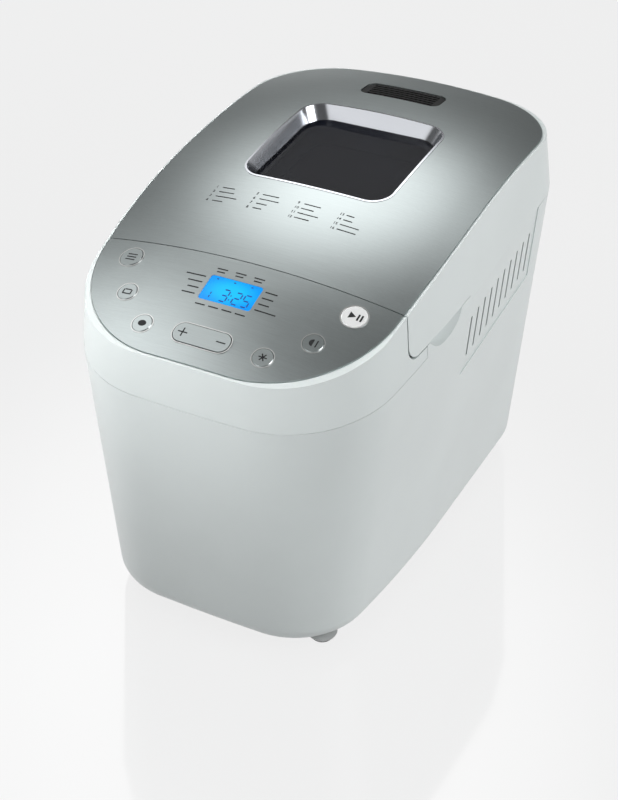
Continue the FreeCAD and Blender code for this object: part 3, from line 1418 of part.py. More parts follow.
card_face = d.card_x + d.card_thickness / 2
card = Part.makeBox(d.card_thickness, 2 * d.card_half, d.card_height,
                    V(card_face - d.card_thickness, d.card_y - d.card_half, base_top + d.guide_floor))
relay = Part.makeBox(14, 20, 16, V(card_face, d.card_y - 22, base_top + 30))
heat_sink = Part.makeBox(12, 18, 26, V(card_face, d.card_y + 4, base_top + 28))
transformer_x = card_face - d.card_thickness - d.transformer_width
transformer = Part.makeBox(d.transformer_width, 24, 20, V(transformer_x, d.card_y - 12, base_top + 34))
shaped("power_board", whole(card.fuse([relay, heat_sink, transformer])))

# Pan shafts with their couplings, and the paddles on them

coupling_low = "oven_floor_z + socket_thickness + 6"
for end, y in spindle_spots.items():
    low = value(coupling_low)
    y_mid = value(y)
    disc = Part.makeCylinder(d.coupling_radius, d.coupling_thickness, V(0, y_mid, low))
    stem = Part.makeCylinder(d.shaft_radius, d.pan_floor_z + d.shaft_rise - low, V(0, y_mid, low))
    coupling_pins = []
    for side in (-1, 1):
        pin_low = V(0, y_mid + side * d.coupling_pin_offset, low - d.coupling_pin_length)
        coupling_pins.append(Part.makeCylinder(d.coupling_pin_radius, d.coupling_pin_length, pin_low))
    shaped(f"{end}_pan_shaft", whole(disc.fuse([stem] + coupling_pins)))
    hub_low = d.pan_floor_z + d.pan_wall + 3.5
    hub = Part.makeCone(d.hub_radius + 2, d.hub_radius, d.paddle_height, V(0, y_mid, hub_low))
    blade_profile = [
        V(0, -3, 0), V(d.paddle_reach - d.blade_tip, -2.2, 0), V(d.paddle_reach, 0, 0),
        V(d.paddle_reach - d.blade_tip, 2.2, 0), V(0, 5, 0),
    ]
    blade_height = d.paddle_height - d.blade_step
    blade = Part.Face(Part.makePolygon(blade_profile + blade_profile[:1])).extrude(V(0, 0, blade_height))
    blade.translate(V(0, y_mid, hub_low))
    sweep_top = Part.makeBox(FAR, 20, FAR, V(0, y_mid - 10, hub_low + blade_height))
    sweep_top.rotate(V(0, y_mid, hub_low + blade_height), V(0, 1, 0), d.blade_tilt)
    paddle = hub.fuse(blade.cut(sweep_top))
    bore_low = hub_low - 5
    bore_height = d.pan_floor_z + d.shaft_rise + d.seat_gap - bore_low
    paddle = paddle.cut(Part.makeCylinder(d.shaft_radius + d.run_gap, bore_height, V(0, y_mid, bore_low)))
    shaped(f"{end}_paddle", whole(paddle))

# Cord gland in the back wall

gland = turned("cord_gland", [
    ("gland_radius - 3.5", "-wall - 4"), ("gland_radius + 3", "-wall - 4"),
    ("gland_radius + 3", "-wall - 0.9"),
    ("gland_radius - 0.2", "-wall - 0.9"), ("gland_radius - 0.2", "3"), ("gland_radius - 3.5", "5"),
])
probe_line = Part.makeLine(V(d.gland_x, 0, d.gland_z), V(d.gland_x, FAR, d.gland_z))
back_y_gland = skin.common(probe_line).BoundBox.YMax
gland.Placement = FreeCAD.Placement(V(d.gland_x, back_y_gland, d.gland_z), ALONG_Y)
node("cord_gland", gland)

# Build, check and write

doc.recompute()
for obj in doc.Objects:
    if "Invalid" in obj.State or "Error" in obj.State:
        raise RuntimeError(f"{obj.Label} failed: {obj.State}")
for obj in NODES:
    if obj.Shape.isNull() or not obj.Shape.isValid():
        raise RuntimeError(f"{obj.Label} has no valid shape")
os.makedirs("parts", exist_ok=True)
for obj in NODES:
    obj.Shape.exportStep(f"parts/{obj.Label}.step")
    print(f"{obj.Label:20s} solids {len(obj.Shape.Solids)} volume {obj.Shape.Volume:.0f}")
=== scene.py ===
import math

import bmesh
import bpy
from mathutils import Matrix, Vector


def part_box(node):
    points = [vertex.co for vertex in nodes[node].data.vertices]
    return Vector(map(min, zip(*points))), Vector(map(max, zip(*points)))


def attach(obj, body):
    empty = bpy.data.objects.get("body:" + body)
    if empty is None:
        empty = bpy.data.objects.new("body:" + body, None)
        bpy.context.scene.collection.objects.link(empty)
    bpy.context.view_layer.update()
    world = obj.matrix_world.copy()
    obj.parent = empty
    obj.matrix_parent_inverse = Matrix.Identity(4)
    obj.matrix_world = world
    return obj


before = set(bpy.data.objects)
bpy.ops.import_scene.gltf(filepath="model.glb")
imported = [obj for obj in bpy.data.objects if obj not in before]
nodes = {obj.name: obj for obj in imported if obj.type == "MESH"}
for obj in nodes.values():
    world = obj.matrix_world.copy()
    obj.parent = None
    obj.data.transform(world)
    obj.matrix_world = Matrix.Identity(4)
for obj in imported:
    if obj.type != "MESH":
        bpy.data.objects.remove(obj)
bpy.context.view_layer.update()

MM = 0.001


# Studio floor
# A wide, smooth, pale table top on which the machine stands.
# It is polished, so the foot of the machine mirrors in it.
class Wire:
    """One shader socket that takes part in arithmetic."""

    def __init__(self, tree, socket):
        self.tree = tree
        self.socket = socket

    def maths(self, operation, first, second):
        return self.tree.node("ShaderNodeMath", {"operation": operation}, {0: first, 1: second})

    def __add__(self, other):
        return self.maths("ADD", self, other)

    def __radd__(self, other):
        return self.maths("ADD", other, self)

    def __mul__(self, other):
        return self.maths("MULTIPLY", self, other)

    def __rmul__(self, other):
        return self.maths("MULTIPLY", other, self)


class Tree:
    """A node tree that is written as expressions."""

    def __init__(self, node_tree):
        self.tree = node_tree

    def join(self, socket, what):
        """Link a wire to a socket, or set a number or a colour on it."""
        if isinstance(what, Wire):
            self.tree.links.new(what.socket, socket)
        elif socket.type == "RGBA":
            socket.default_value = (*what[:3], 1)
        else:
            socket.default_value = what

    def node(self, kind, settings, sockets, output=0):
        """Add a node: first its settings, then its sockets. One output comes back as a wire."""
        added = self.tree.nodes.new(kind)
        for name, what in settings.items():
            if name == "stops":
                elements = added.color_ramp.elements
                while len(elements) < len(what):
                    elements.new(1)
                for element, (place, colour) in zip(elements, what):
                    element.position = place
                    element.color = (*colour, 1)
            else:
                setattr(added, name, what)
        for name, what in sockets.items():
            self.join(added.inputs[name], what)
        return Wire(self, added.outputs[output])

    def mix(self, factor, first, second):
        """A colour between two colours."""
        return self.node("ShaderNodeMix", {"data_type": "RGBA"}, {0: factor, 6: first, 7: second}, 2)

    def spread(self, what, low, high):
        """Stretch the range from low to high over 0 to 1, with soft ends."""
        limits = {"Value": what, "From Min": low, "From Max": high}
        return self.node("ShaderNodeMapRange", {"interpolation_type": "SMOOTHSTEP"}, limits)


class Finish(Tree):
    """A material under construction, with its main shader."""

    def __init__(self, name):
        self.material = bpy.data.materials.new(name)
        self.material.use_nodes = True
        super().__init__(self.material.node_tree)
        self.shader = self.tree.nodes["Principled BSDF"]

    def paint(self, sockets):
        """Feed the main shader. The material comes back."""
        for name, what in sockets.items():
            self.join(self.shader.inputs[name], what)
        return self.material

    def place(self, stretch=(1, 1, 1), centre=(0, 0, 0)):
        """Object coordinates in metres, stretched about a centre."""
        spot = self.node("ShaderNodeTexCoord", {}, {}, "Object")
        moved = self.node("ShaderNodeVectorMath", {"operation": "SUBTRACT"}, {0: spot, 1: centre})
        return self.node("ShaderNodeVectorMath", {"operation": "MULTIPLY"}, {0: moved, 1: stretch})

    def noise(self, scale, detail=3.0, stretch=(1, 1, 1)):
        sockets = {"Vector": self.place(stretch), "Scale": scale, "Detail": detail}
        return self.node("ShaderNodeTexNoise", {}, sockets)

    def bump(self, height, depth):
        return self.node("ShaderNodeBump", {}, {"Height": height, "Distance": depth, "Strength": 1.0})


def shade(colour, factor):
    """A colour made lighter or darker."""
    return tuple(min(1.0, part * factor) for part in colour)


FLOOR_HALF = 60.0
FLOOR_COLOUR = (0.28, 0.285, 0.29)
FLOOR_IOR = 2.6
FLOOR_WHITENESS = 0.82


def floor_finish():
    """A polished pale top that looks near white, and still takes shadows and reflections."""
    finish = Finish("floor_polish")
    cloud = finish.noise(2.0)
    tone = finish.mix(cloud, shade(FLOOR_COLOUR, 0.99), FLOOR_COLOUR)
    finish.paint({"Base Color": tone, "Roughness": 0.05 + 0.04 * cloud, "IOR": FLOOR_IOR})
    seen = finish.node("ShaderNodeLightPath", {}, {}, "Is Camera Ray")
    seen = seen + finish.node("ShaderNodeLightPath", {}, {}, "Is Glossy Ray")
    seen = seen + finish.node("ShaderNodeLightPath", {}, {}, "Is Transmission Ray")
    white = finish.node("ShaderNodeEmission", {}, {"Color": (1.0, 1.0, 1.0)})
    lit = Wire(finish, finish.shader.outputs[0])
    both = finish.node("ShaderNodeMixShader", {}, {0: seen * FLOOR_WHITENESS, 1: lit, 2: white})
    finish.join(finish.tree.nodes["Material Output"].inputs["Surface"], both)
    return finish.material


def new_object(name, shape, material):
    """Close a bmesh into an object at the origin with one material."""
    mesh = bpy.data.meshes.new(name)
    shape.to_mesh(mesh)
    shape.free()
    mesh.materials.append(material)
    made = bpy.data.objects.new(name, mesh)
    bpy.context.scene.collection.objects.link(made)
    return made


floor_shape = bmesh.new()
bmesh.ops.create_grid(floor_shape, x_segments=2, y_segments=2, size=FLOOR_HALF)
new_object("floor", floor_shape, floor_finish())

# Studio light and camera
# A dim grey room, pale along the floor, with soft glows behind, at the left and low in front. Four lamp
# banks: large ones on the right and behind, one overhead and a small one that washes the top of the
# front. The camera has the photograph's angle and distance.
ROOM_GREY = 0.10
WALL_GLOW, WALL_FOOT, WALL_TOP = 0.72, math.radians(4), math.radians(12)
# Each glow: the way to it, its strength, and the angles of its core and its edge.
BACK_GLOW = ((-0.36, 0.60, 0.72), 2.5, math.radians(4), math.radians(17))
LEFT_GLOW = ((-0.64, 0.02, 0.77), 1.8, math.radians(6), math.radians(20))
FRONT_GLOW = ((-0.39, -0.9, 0.2), 0.8, math.radians(6), math.radians(26))

world = bpy.data.worlds.new("studio")
world.use_nodes = True
bpy.context.scene.world = world
sky = Tree(world.node_tree)
way = sky.node("ShaderNodeTexCoord", {}, {}, "Generated")


def towards(direction):
    """The cosine between a way in the room and a direction."""
    sockets = {0: way, 1: Vector(direction).normalized()}
    return sky.node("ShaderNodeVectorMath", {"operation": "DOT_PRODUCT"}, sockets, 1)


glow = ROOM_GREY + WALL_GLOW * sky.spread(towards((0, 0, 1)), math.sin(WALL_TOP), math.sin(WALL_FOOT))
for direction, strength, core, edge in (BACK_GLOW, LEFT_GLOW, FRONT_GLOW):
    glow = glow + strength * sky.spread(towards(direction), math.cos(edge), math.cos(core))
background = world.node_tree.nodes["Background"]
sky.join(background.inputs["Strength"], glow)
sky.join(background.inputs["Color"], (1.0, 1.0, 1.0))


def look_at(item, spot, target):
    """Put a lamp or the camera at a spot, aimed at a target."""
    item.location = spot
    item.rotation_euler = (Vector(target) - Vector(spot)).to_track_quat("-Z", "Y").to_euler()
    bpy.context.scene.collection.objects.link(item)


def lamp_bank(name, spot, target, width, height, power, mirrored=True, beam=180):
    """A rectangular lamp with a beam in degrees, which may leave no mirror image of itself."""
    lamp = bpy.data.lights.new(name, "AREA")
    lamp.shape = "RECTANGLE"
    lamp.size, lamp.size_y = width, height
    lamp.energy = power
    lamp.spread = math.radians(beam)
    bank = bpy.data.objects.new(name, lamp)
    bank.visible_glossy = mirrored
    look_at(bank, spot, target)


MIDDLE = (0.0, 0.0, 0.15)
lamp_bank("right_bank", (1.9, -0.1, 1.3), MIDDLE, 1.4, 1.4, 27.0)
lamp_bank("back_bank", (-1.2, 1.3, 1.1), MIDDLE, 1.2, 0.9, 15.0, mirrored=False)
lamp_bank("high_bank", (-0.5, -0.9, 2.5), MIDDLE, 1.2, 0.8, 8.0)
lamp_bank("front_bank", (-0.5, -0.8, 0.55), (-0.1, -0.15, 0.36), 0.4, 0.3, 0.62, mirrored=False, beam=44)

PHOTO_SPOT = (0.451303, -0.872154, 0.762059)
PHOTO_TARGET = (-0.006482, -0.004, 0.097831)
eye = bpy.data.cameras.new("photo_camera")
eye.sensor_fit = "VERTICAL"
eye.sensor_height = 36.0
eye.lens = 69.14
camera = bpy.data.objects.new("photo_camera", eye)
look_at(camera, PHOTO_SPOT, PHOTO_TARGET)
bpy.context.scene.camera = camera
bpy.context.scene.view_settings.view_transform = "Standard"


# Base plate, feet and gland
# A grey moulded plate closes the underside. Four hollow feet stand on it, each with a soft rubber pad,
# and a round gland is clipped into the back wall.
def moulded(name, colour, rough, grain=0.00002, speckle=900.0, coat=0.0):
    """Moulded plastic: a fine spark-eroded grain, with faint clouds in colour and gloss."""
    finish = Finish(name)
    cloud = finish.noise(9.0, 4.0)
    pores = finish.noise(speckle, 2.0)
    tone = finish.mix(finish.spread(cloud, 0.3, 0.7), shade(colour, 0.97), shade(colour, 1.02))
    return finish.paint({
        "Base Color": tone,
        "Roughness": rough - 0.05 + 0.10 * cloud,
        "Normal": finish.bump(pores, grain),
        "Coat Weight": coat,
        "Coat Roughness": 0.25,
    })


def dress(material, *names):
    """Give CAD nodes a finish."""
    for name in names:
        for material_slot in nodes[name].material_slots:
            material_slot.material = material


def rubber(name, colour):
    """Matt rubber with a dusty bloom."""
    finish = Finish(name)
    bloom = finish.spread(finish.noise(160.0, 5.0), 0.45, 0.75)
    tone = finish.mix(bloom, colour, shade(colour, 1.7))
    pores = finish.noise(1500.0, 2.0)
    rough = 0.75 + 0.15 * bloom
    return finish.paint({"Base Color": tone, "Roughness": rough, "Normal": finish.bump(pores, 0.00004)})


dress(moulded("base_plastic", (0.60, 0.61, 0.61), 0.5), "base_plate", "feet", "cord_gland")
dress(rubber("pad_rubber", (0.035, 0.035, 0.036)), "foot_pads", "motor_mounts")

# Lower housing, front collar and lid shell
# The white satin mouldings that make the outside: the tapered tub, the collar under the control panel
# and the skirt of the lid. They share one plastic.
SHELL_WHITE = (0.765, 0.82, 0.815)
shell_plastic = moulded("shell_plastic", SHELL_WHITE, 0.36, 0.000006, 1400.0, 0.3)
dress(shell_plastic, "lower_housing", "front_collar", "lid_shell")
dress(moulded("deck_plastic", (0.70, 0.705, 0.70), 0.5), "deck_frame")


# Drive under the oven
# A zinc-plated chassis carries the bearings and the motor. Nylon pulleys and flat ribbed belts
# turn both spindles from the motor.
def plated(name, colour, rough, spangle=260.0):
    """Zinc-plated sheet: soft spangle in colour and gloss."""
    finish = Finish(name)
    cells = {"Vector": finish.place(), "Scale": spangle}
    flake = finish.node("ShaderNodeTexVoronoi", {"feature": "SMOOTH_F1"}, cells, "Distance")
    grey = finish.spread(flake, 0.1, 0.8)
    tone = finish.mix(grey, shade(colour, 0.88), shade(colour, 1.08))
    return finish.paint({
        "Base Color": tone,
        "Metallic": 1.0,
        "Roughness": rough + 0.10 * grey,
        "Normal": finish.bump(flake, 0.00002),
    })


def ribbed(name, colour, pitch):
    """Belt rubber with fine ribs along the height of the belt."""
    finish = Finish(name)
    ribs = {"Vector": finish.place(), "Scale": 1 / (pitch * 20)}
    wave = finish.node("ShaderNodeTexWave", {"bands_direction": "Z"}, ribs, "Fac")
    tone = finish.mix(wave, shade(colour, 0.7), colour)
    return finish.paint({"Base Color": tone, "Roughness": 0.65 + 0.1 * wave,
                         "Normal": finish.bump(wave, 0.0002)})


BELT_RIB = 1.2 * MM
dress(plated("chassis_zinc", (0.62, 0.62, 0.60), 0.32), "drive_chassis", "element_clips", "base_screws",
      "lid_screws", "hinge_pins")
dress(plated("cast_metal", (0.52, 0.52, 0.53), 0.42, 700.0), "pan_base", "pan_bushings", "bearing_housings")
dress(moulded("natural_nylon", (0.72, 0.70, 0.62), 0.45), "front_pulley", "rear_pulley", "motor_pulley")
dress(ribbed("belt_rubber", (0.03, 0.03, 0.032), BELT_RIB), "main_belt", "cross_belt")


def bright(name, colour, rough, draw=(1, 1, 1)):
    """Bright drawn steel with hairline marks along the draw direction."""
    finish = Finish(name)
    hair = finish.noise(900.0, 3.0, draw)
    tone = finish.mix(hair, shade(colour, 0.92), shade(colour, 1.05))
    return finish.paint({"Base Color": tone, "Metallic": 1.0, "Roughness": rough + 0.08 * hair,
                         "Normal": finish.bump(hair, 0.000008)})


dress(bright("bright_wire", (0.72, 0.72, 0.73), 0.10, (1, 0.05, 1)), "bail_handle")
dress(bright("turned_steel", (0.62, 0.62, 0.63), 0.18, (1, 1, 0.4)), "front_spindle", "rear_spindle",
      "front_pan_shaft", "rear_pan_shaft", "motor_shaft", "temperature_probe")
dress(bright("motor_can", (0.30, 0.31, 0.33), 0.34, (0.3, 0.3, 1)), "motor")
dress(moulded("capacitor_case", (0.62, 0.63, 0.64), 0.4), "motor_capacitor")


# Circuit boards
# Green laminate with a lacquered solder mask over copper tracks. The switches and the display
# are soldered to the board behind the control panel.
def laminate(name):
    """Solder mask, paler where a track runs under it."""
    finish = Finish(name)
    tracks = {"Vector": finish.place(), "Scale": 420.0}
    cells = finish.node("ShaderNodeTexVoronoi", {"distance": "MANHATTAN"}, tracks, "Distance")
    copper = finish.spread(cells, 0.28, 0.34)
    tone = finish.mix(copper, (0.012, 0.10, 0.035), (0.05, 0.22, 0.08))
    return finish.paint({"Base Color": tone, "Roughness": 0.30 + 0.12 * copper,
                         "Normal": finish.bump(copper, 0.00003)})


dress(laminate("board_laminate"), "control_board", "power_board")
dress(moulded("switch_plastic", (0.03, 0.03, 0.032), 0.5), "key_switches")


# Oven chamber and heater
# The well is drawn from aluminised sheet. The heater is a sheathed rod, dark and blued by heat,
# held off the wall by clips.
def drawn_sheet(name, colour, rough):
    """Drawn aluminised sheet: upright draw marks and dull clouds."""
    finish = Finish(name)
    marks = finish.noise(700.0, 3.0, (1, 1, 0.06))
    cloud = finish.noise(30.0, 4.0)
    tone = finish.mix(0.5 * marks + 0.5 * cloud, shade(colour, 0.84), shade(colour, 1.08))
    return finish.paint({"Base Color": tone, "Metallic": 1.0, "Roughness": rough + 0.12 * cloud,
                         "Normal": finish.bump(marks, 0.00001)})


def heat_blued(name):
    """A steel sheath in the brown, blue and grey tints of heat."""
    finish = Finish(name)
    heat = finish.spread(finish.noise(38.0, 3.0), 0.35, 0.68)
    tone = finish.node("ShaderNodeValToRGB", {"stops": [
        (0.0, (0.10, 0.09, 0.085)), (0.45, (0.20, 0.14, 0.09)), (0.75, (0.10, 0.10, 0.15)),
        (1.0, (0.25, 0.23, 0.21)),
    ]}, {0: heat})
    return finish.paint({"Base Color": tone, "Metallic": 0.85, "Roughness": 0.38 + 0.15 * heat})


dress(drawn_sheet("oven_sheet", (0.60, 0.60, 0.59), 0.30), "oven_chamber", "pan_socket")
dress(drawn_sheet("liner_sheet", (0.66, 0.67, 0.68), 0.26), "lid_liner")
dress(heat_blued("heater_sheath"), "heating_element")


# Bread pan and paddles
# Cast and pressed aluminium with a dark non-stick coat, which is full of fine pale specks.
# The pan drops into the socket of the oven, and each paddle slips over a shaft in its floor.
def non_stick(name):
    """A dark coat with pale specks."""
    finish = Finish(name)
    specks = {"Vector": finish.place(), "Scale": 900.0, "Randomness": 1.0}
    cell = finish.node("ShaderNodeTexVoronoi", {}, specks, "Distance")
    speck = finish.spread(cell, 0.22, 0.10)
    cloud = finish.noise(24.0, 4.0)
    base = finish.mix(cloud, (0.018, 0.018, 0.019), (0.032, 0.032, 0.034))
    tone = finish.mix(0.7 * speck, base, (0.16, 0.16, 0.165))
    return finish.paint({"Base Color": tone, "Roughness": 0.34 + 0.14 * cloud, "Coat Weight": 0.25,
                         "Normal": finish.bump(cell, 0.00001)})


dress(non_stick("pan_coating"), "bread_pan", "front_paddle", "rear_paddle")


# Steel skins of the lid and the control panel
# Thin stainless sheet, brushed from left to right and glued to the crown of the mouldings.
# One skin covers the lid, the other the control panel, with the holes for its keys.
STEEL = (0.51, 0.56, 0.56)
STEEL_ROUGHNESS = 0.27


def brushed(name, colour, rough):
    """Stainless sheet with brush lines along X."""
    finish = Finish(name)
    fine = finish.noise(1.0, 2.0, (35, 5200, 2600))
    long = finish.noise(1.0, 3.0, (7, 1500, 700))
    lines = 0.6 * fine + 0.4 * long
    cloud = finish.noise(7.0, 3.0)
    tone = finish.mix(finish.spread(lines, 0.3, 0.7), shade(colour, 0.94), shade(colour, 1.05))
    return finish.paint({
        "Base Color": tone,
        "Metallic": 1.0,
        "Roughness": rough - 0.03 + 0.08 * lines + 0.05 * cloud,
        "Normal": finish.bump(lines, 0.000005),
    })


steel_skin = brushed("brushed_steel", STEEL, STEEL_ROUGHNESS)
dress(steel_skin, "control_plate", "lid_plate")


# Window
# A satin silver funnel is set into the lid. A pane lies on its ledge, and a second pane
# closes the oven side of the lid. Both panes carry a near-black, partly opaque coat of painted
# shade that stands for the dark oven behind them.
def satin_silver(name, colour, rough):
    """Plated plastic with a very fine grain."""
    finish = Finish(name)
    grain = finish.noise(2600.0, 2.0)
    cloud = finish.noise(14.0, 3.0)
    tone = finish.mix(cloud, shade(colour, 0.94), shade(colour, 1.04))
    return finish.paint({"Base Color": tone, "Metallic": 1.0, "Roughness": rough + 0.05 * grain,
                         "Normal": finish.bump(grain, 0.0000015)})


def glass_with_painted_shade(name, colour, cover):
    """A pane under a near-black, partly opaque coat of painted shade, with a faint film of handling marks
    in its gloss.
    """
    finish = Finish(name)
    film = finish.spread(finish.noise(18.0, 2.0), 0.45, 0.8)
    # The near-black colour is painted shade for the dark oven behind the pane; the paler film is handling
    # marks.
    tone = finish.mix(film, colour, shade(colour, 1.6))
    # Alpha sets how much of the pane the near-black painted shade covers.
    return finish.paint({"Base Color": tone, "Roughness": 0.02 + 0.05 * film,
                         "Alpha": cover + 0.05 * film, "Specular IOR Level": 0.06})


dress(satin_silver("bezel_silver", (0.68, 0.70, 0.74), 0.17), "window_bezel")
# Both panes are darkened with painted shade that stands for the dark oven behind them.
dress(glass_with_painted_shade("window_tint", (0.004, 0.005, 0.009), 0.72), "window_glass", "inner_glass")
dress(moulded("grille_black", (0.006, 0.006, 0.006), 0.6), "steam_grille")
dress(rubber("seal_silicone", (0.16, 0.16, 0.17)), "lid_seal")


# Display
# A blue backlit liquid crystal cell flush with the panel, with dark seven-segment digits
# and small pointers along its edges that line up with the marks on the steel.
CROWN_RADIUS = 0.720
CROWN_APEX_Y = 0.111
CROWN_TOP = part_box("lid_plate")[1].z
CROWN_CENTRE = Vector((0.0, CROWN_APEX_Y, CROWN_TOP - CROWN_RADIUS))


def crown_frame(x, y):
    """A frame on the crown with Z straight out of it and X to the right."""
    reach = x * x + (y - CROWN_CENTRE.y) ** 2
    spot = Vector((x, y, CROWN_CENTRE.z + math.sqrt(CROWN_RADIUS ** 2 - reach)))
    turn = Vector((0, 0, 1)).rotation_difference(spot - CROWN_CENTRE)
    return Matrix.Translation(spot) @ turn.to_matrix().to_4x4()


def backlight(name):
    """The lit face of the cell: bright in the middle, deeper blue at the ends."""
    finish = Finish(name)
    low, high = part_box("display_lens")
    middle = (low + high) / 2
    offset = finish.place((1 / (high.x - low.x), 1 / (high.y - low.y), 0), middle)
    reach = finish.node("ShaderNodeVectorMath", {"operation": "LENGTH"}, {0: offset}, 1)
    cloud = finish.noise(300.0, 2.0)
    tone = finish.mix(finish.spread(reach, 0.15, 0.65) * (0.8 + 0.4 * cloud),
                      (0.01, 0.56, 1.0), (0.0, 0.30, 0.95))
    return finish.paint({"Base Color": (0.0, 0.04, 0.10), "Emission Color": tone,
                         "Emission Strength": 0.95, "Roughness": 0.12 + 0.1 * cloud})


dress(backlight("display_glow"), "display_lens")
dress(moulded("display_case", (0.05, 0.20, 0.42), 0.45), "display_module")


def drape(shape, lift):
    """Lay a flat shape, drawn in plan with Z as its height, on the crown."""
    for vert in shape.verts:
        ground = crown_frame(vert.co.x, vert.co.y)
        vert.co = ground @ Vector((0, 0, vert.co.z + lift))


def add_bar(shape, x, y, length, width, height, turn=0.0):
    """A flat bar with soft ends, centred at x and y."""
    put = Matrix.Translation((x, y, 0)) @ Matrix.Rotation(turn, 4, "Z")
    bar = bmesh.ops.create_cube(shape, size=1.0)["verts"]
    bmesh.ops.scale(shape, vec=(length, width, height), verts=bar)
    upright = [e for e in dict.fromkeys(e for v in bar for e in v.link_edges)
               if abs(e.verts[0].co.z - e.verts[1].co.z) > height / 2]
    soft = bmesh.ops.bevel(shape, geom=upright, offset=0.3 * min(length, width), segments=2,
                           profile=0.5, affect="EDGES", material=-1)
    kept = dict.fromkeys([v for v in bar if v.is_valid] + soft["verts"])
    bmesh.ops.transform(shape, matrix=put, verts=list(kept))


INK_HEIGHT = 0.10 * MM
INK_LIFT = 0.06 * MM


def printed(name, colour, rough=0.5):
    """Screen-printed ink, slightly uneven."""
    finish = Finish(name)
    patch = finish.noise(2500.0, 3.0)
    tone = finish.mix(patch, shade(colour, 0.85), shade(colour, 1.2))
    return finish.paint({"Base Color": tone, "Roughness": rough + 0.15 * patch,
                         "Normal": finish.bump(patch, 0.000004)})


def settle(name, shape, material, body):
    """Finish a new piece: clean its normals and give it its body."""
    bmesh.ops.remove_doubles(shape, verts=shape.verts, dist=1e-7)
    bmesh.ops.recalc_face_normals(shape, faces=shape.faces)
    made = new_object(name, shape, material)
    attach(made, body)
    return made


DISPLAY_Y = -126.2 * MM
SEGMENTS = {1: "bc", 2: "abdeg", 3: "abcdg", 5: "acdfg"}


def add_digit(shape, number, x, y, width, height, stroke):
    """A seven-segment digit whose lower left corner is at x and y."""
    half = height / 2
    bars = {
        "a": (width / 2, height, 0), "b": (width, half * 1.5, 1), "c": (width, half * 0.5, 1),
        "d": (width / 2, 0, 0), "e": (0, half * 0.5, 1), "f": (0, half * 1.5, 1), "g": (width / 2, half, 0),
    }
    for letter in SEGMENTS[number]:
        across, up, standing = bars[letter]
        length = half - stroke * 1.3 if standing else width - stroke * 1.3
        add_bar(shape, x + across, y + up, length, stroke, INK_HEIGHT, math.pi / 2 * standing)


DIGIT_WIDTH, DIGIT_HEIGHT, DIGIT_STROKE = 4.8 * MM, 9.4 * MM, 0.95 * MM
DIGIT_LOW = DISPLAY_Y - 8.2 * MM
HOUR_X, TENS_X, UNITS_X = -5.0 * MM, 4.2 * MM, 11.2 * MM
PROGRAMME_X, PROGRAMME_SHARE = -15.5 * MM, 0.6
COLON_X, COLON_RISES = 1.8 * MM, (2.4 * MM, 5.8 * MM)
POINTER_Y, POINTER_LENGTH, POINTER_WIDTH = DISPLAY_Y + 8.0 * MM, 1.6 * MM, 0.8 * MM
GLASS_SINK = 0.1 * MM
digits = bmesh.new()
for digit_x, number in ((HOUR_X, 3), (TENS_X, 2), (UNITS_X, 5)):
    add_digit(digits, number, digit_x, DIGIT_LOW, DIGIT_WIDTH, DIGIT_HEIGHT, DIGIT_STROKE)
add_digit(digits, 1, PROGRAMME_X, DIGIT_LOW, PROGRAMME_SHARE * DIGIT_WIDTH, PROGRAMME_SHARE * DIGIT_HEIGHT,
          0.8 * DIGIT_STROKE)
for rise in COLON_RISES:
    add_bar(digits, COLON_X, DIGIT_LOW + rise, DIGIT_STROKE, DIGIT_STROKE, INK_HEIGHT)
for pointer_x in (-14.0 * MM, -1.0 * MM, 12.0 * MM):
    add_bar(digits, pointer_x, POINTER_Y, POINTER_LENGTH, POINTER_WIDTH, INK_HEIGHT)
drape(digits, INK_LIFT - GLASS_SINK)
settle("display_digits", digits, printed("digit_ink", (0.004, 0.05, 0.32), 0.3), "root")

# Marks on the steel
# Plain index marks are printed round the display, and sixteen plain programme numbers with short lines
# stand in four columns in front of the window.
DARK_INK = printed("dark_ink", (0.012, 0.013, 0.014))
MARK_STROKE = 0.9 * MM
ROW_TOP, ROW_STEP = DISPLAY_Y + 7.6 * MM, 5.0 * MM
LEFT_END, LEFT_LENGTHS = -23.0 * MM, (15.0, 11.0, 8.5, 10.0)
RIGHT_END, RIGHT_LENGTHS = 22.0 * MM, (9.0, 8.5, 8.0, 15.5)
FIRST_X, LOWER_STEP, UPPER_STEP = -15.0 * MM, 10.0 * MM, 14.0 * MM
LOWER_Y, LOWER_LENGTH = DISPLAY_Y - 14.2 * MM, 7.5 * MM
UPPER_Y, UPPER_RISE, UPPER_LENGTHS = DISPLAY_Y + 13.6 * MM, 2.6 * MM, (6.0, 8.0)

marks = bmesh.new()
for row, (left, right) in enumerate(zip(LEFT_LENGTHS, RIGHT_LENGTHS)):
    mark_y = ROW_TOP - ROW_STEP * row
    add_bar(marks, LEFT_END - left * MM / 2, mark_y, left * MM, MARK_STROKE, INK_HEIGHT)
    add_bar(marks, RIGHT_END + right * MM / 2, mark_y, right * MM, MARK_STROKE, INK_HEIGHT)
    add_bar(marks, FIRST_X + LOWER_STEP * row, LOWER_Y, LOWER_LENGTH, MARK_STROKE, INK_HEIGHT)
for column in range(3):
    for line, length in enumerate(UPPER_LENGTHS):
        add_bar(marks, FIRST_X + UPPER_STEP * column, UPPER_Y + UPPER_RISE * line, length * MM, MARK_STROKE,
                INK_HEIGHT)
drape(marks, INK_LIFT)
settle("display_marks", marks, DARK_INK, "root")


def add_text(shape, words, x, y, size):
    """Text as flat solid letters whose lower left corner is at x and y."""
    curve = bpy.data.curves.new("letters", "FONT")
    curve.body = words
    curve.size = size
    curve.extrude = INK_HEIGHT / 2
    curve.resolution_u = 3
    carrier = bpy.data.objects.new("letters", curve)
    bpy.context.scene.collection.objects.link(carrier)
    mesh = bpy.data.meshes.new_from_object(carrier.evaluated_get(bpy.context.evaluated_depsgraph_get()))
    mesh.transform(Matrix.Translation((x, y, 0)))
    shape.from_mesh(mesh)
    bpy.data.objects.remove(carrier)
    bpy.data.curves.remove(curve)
    bpy.data.meshes.remove(mesh)


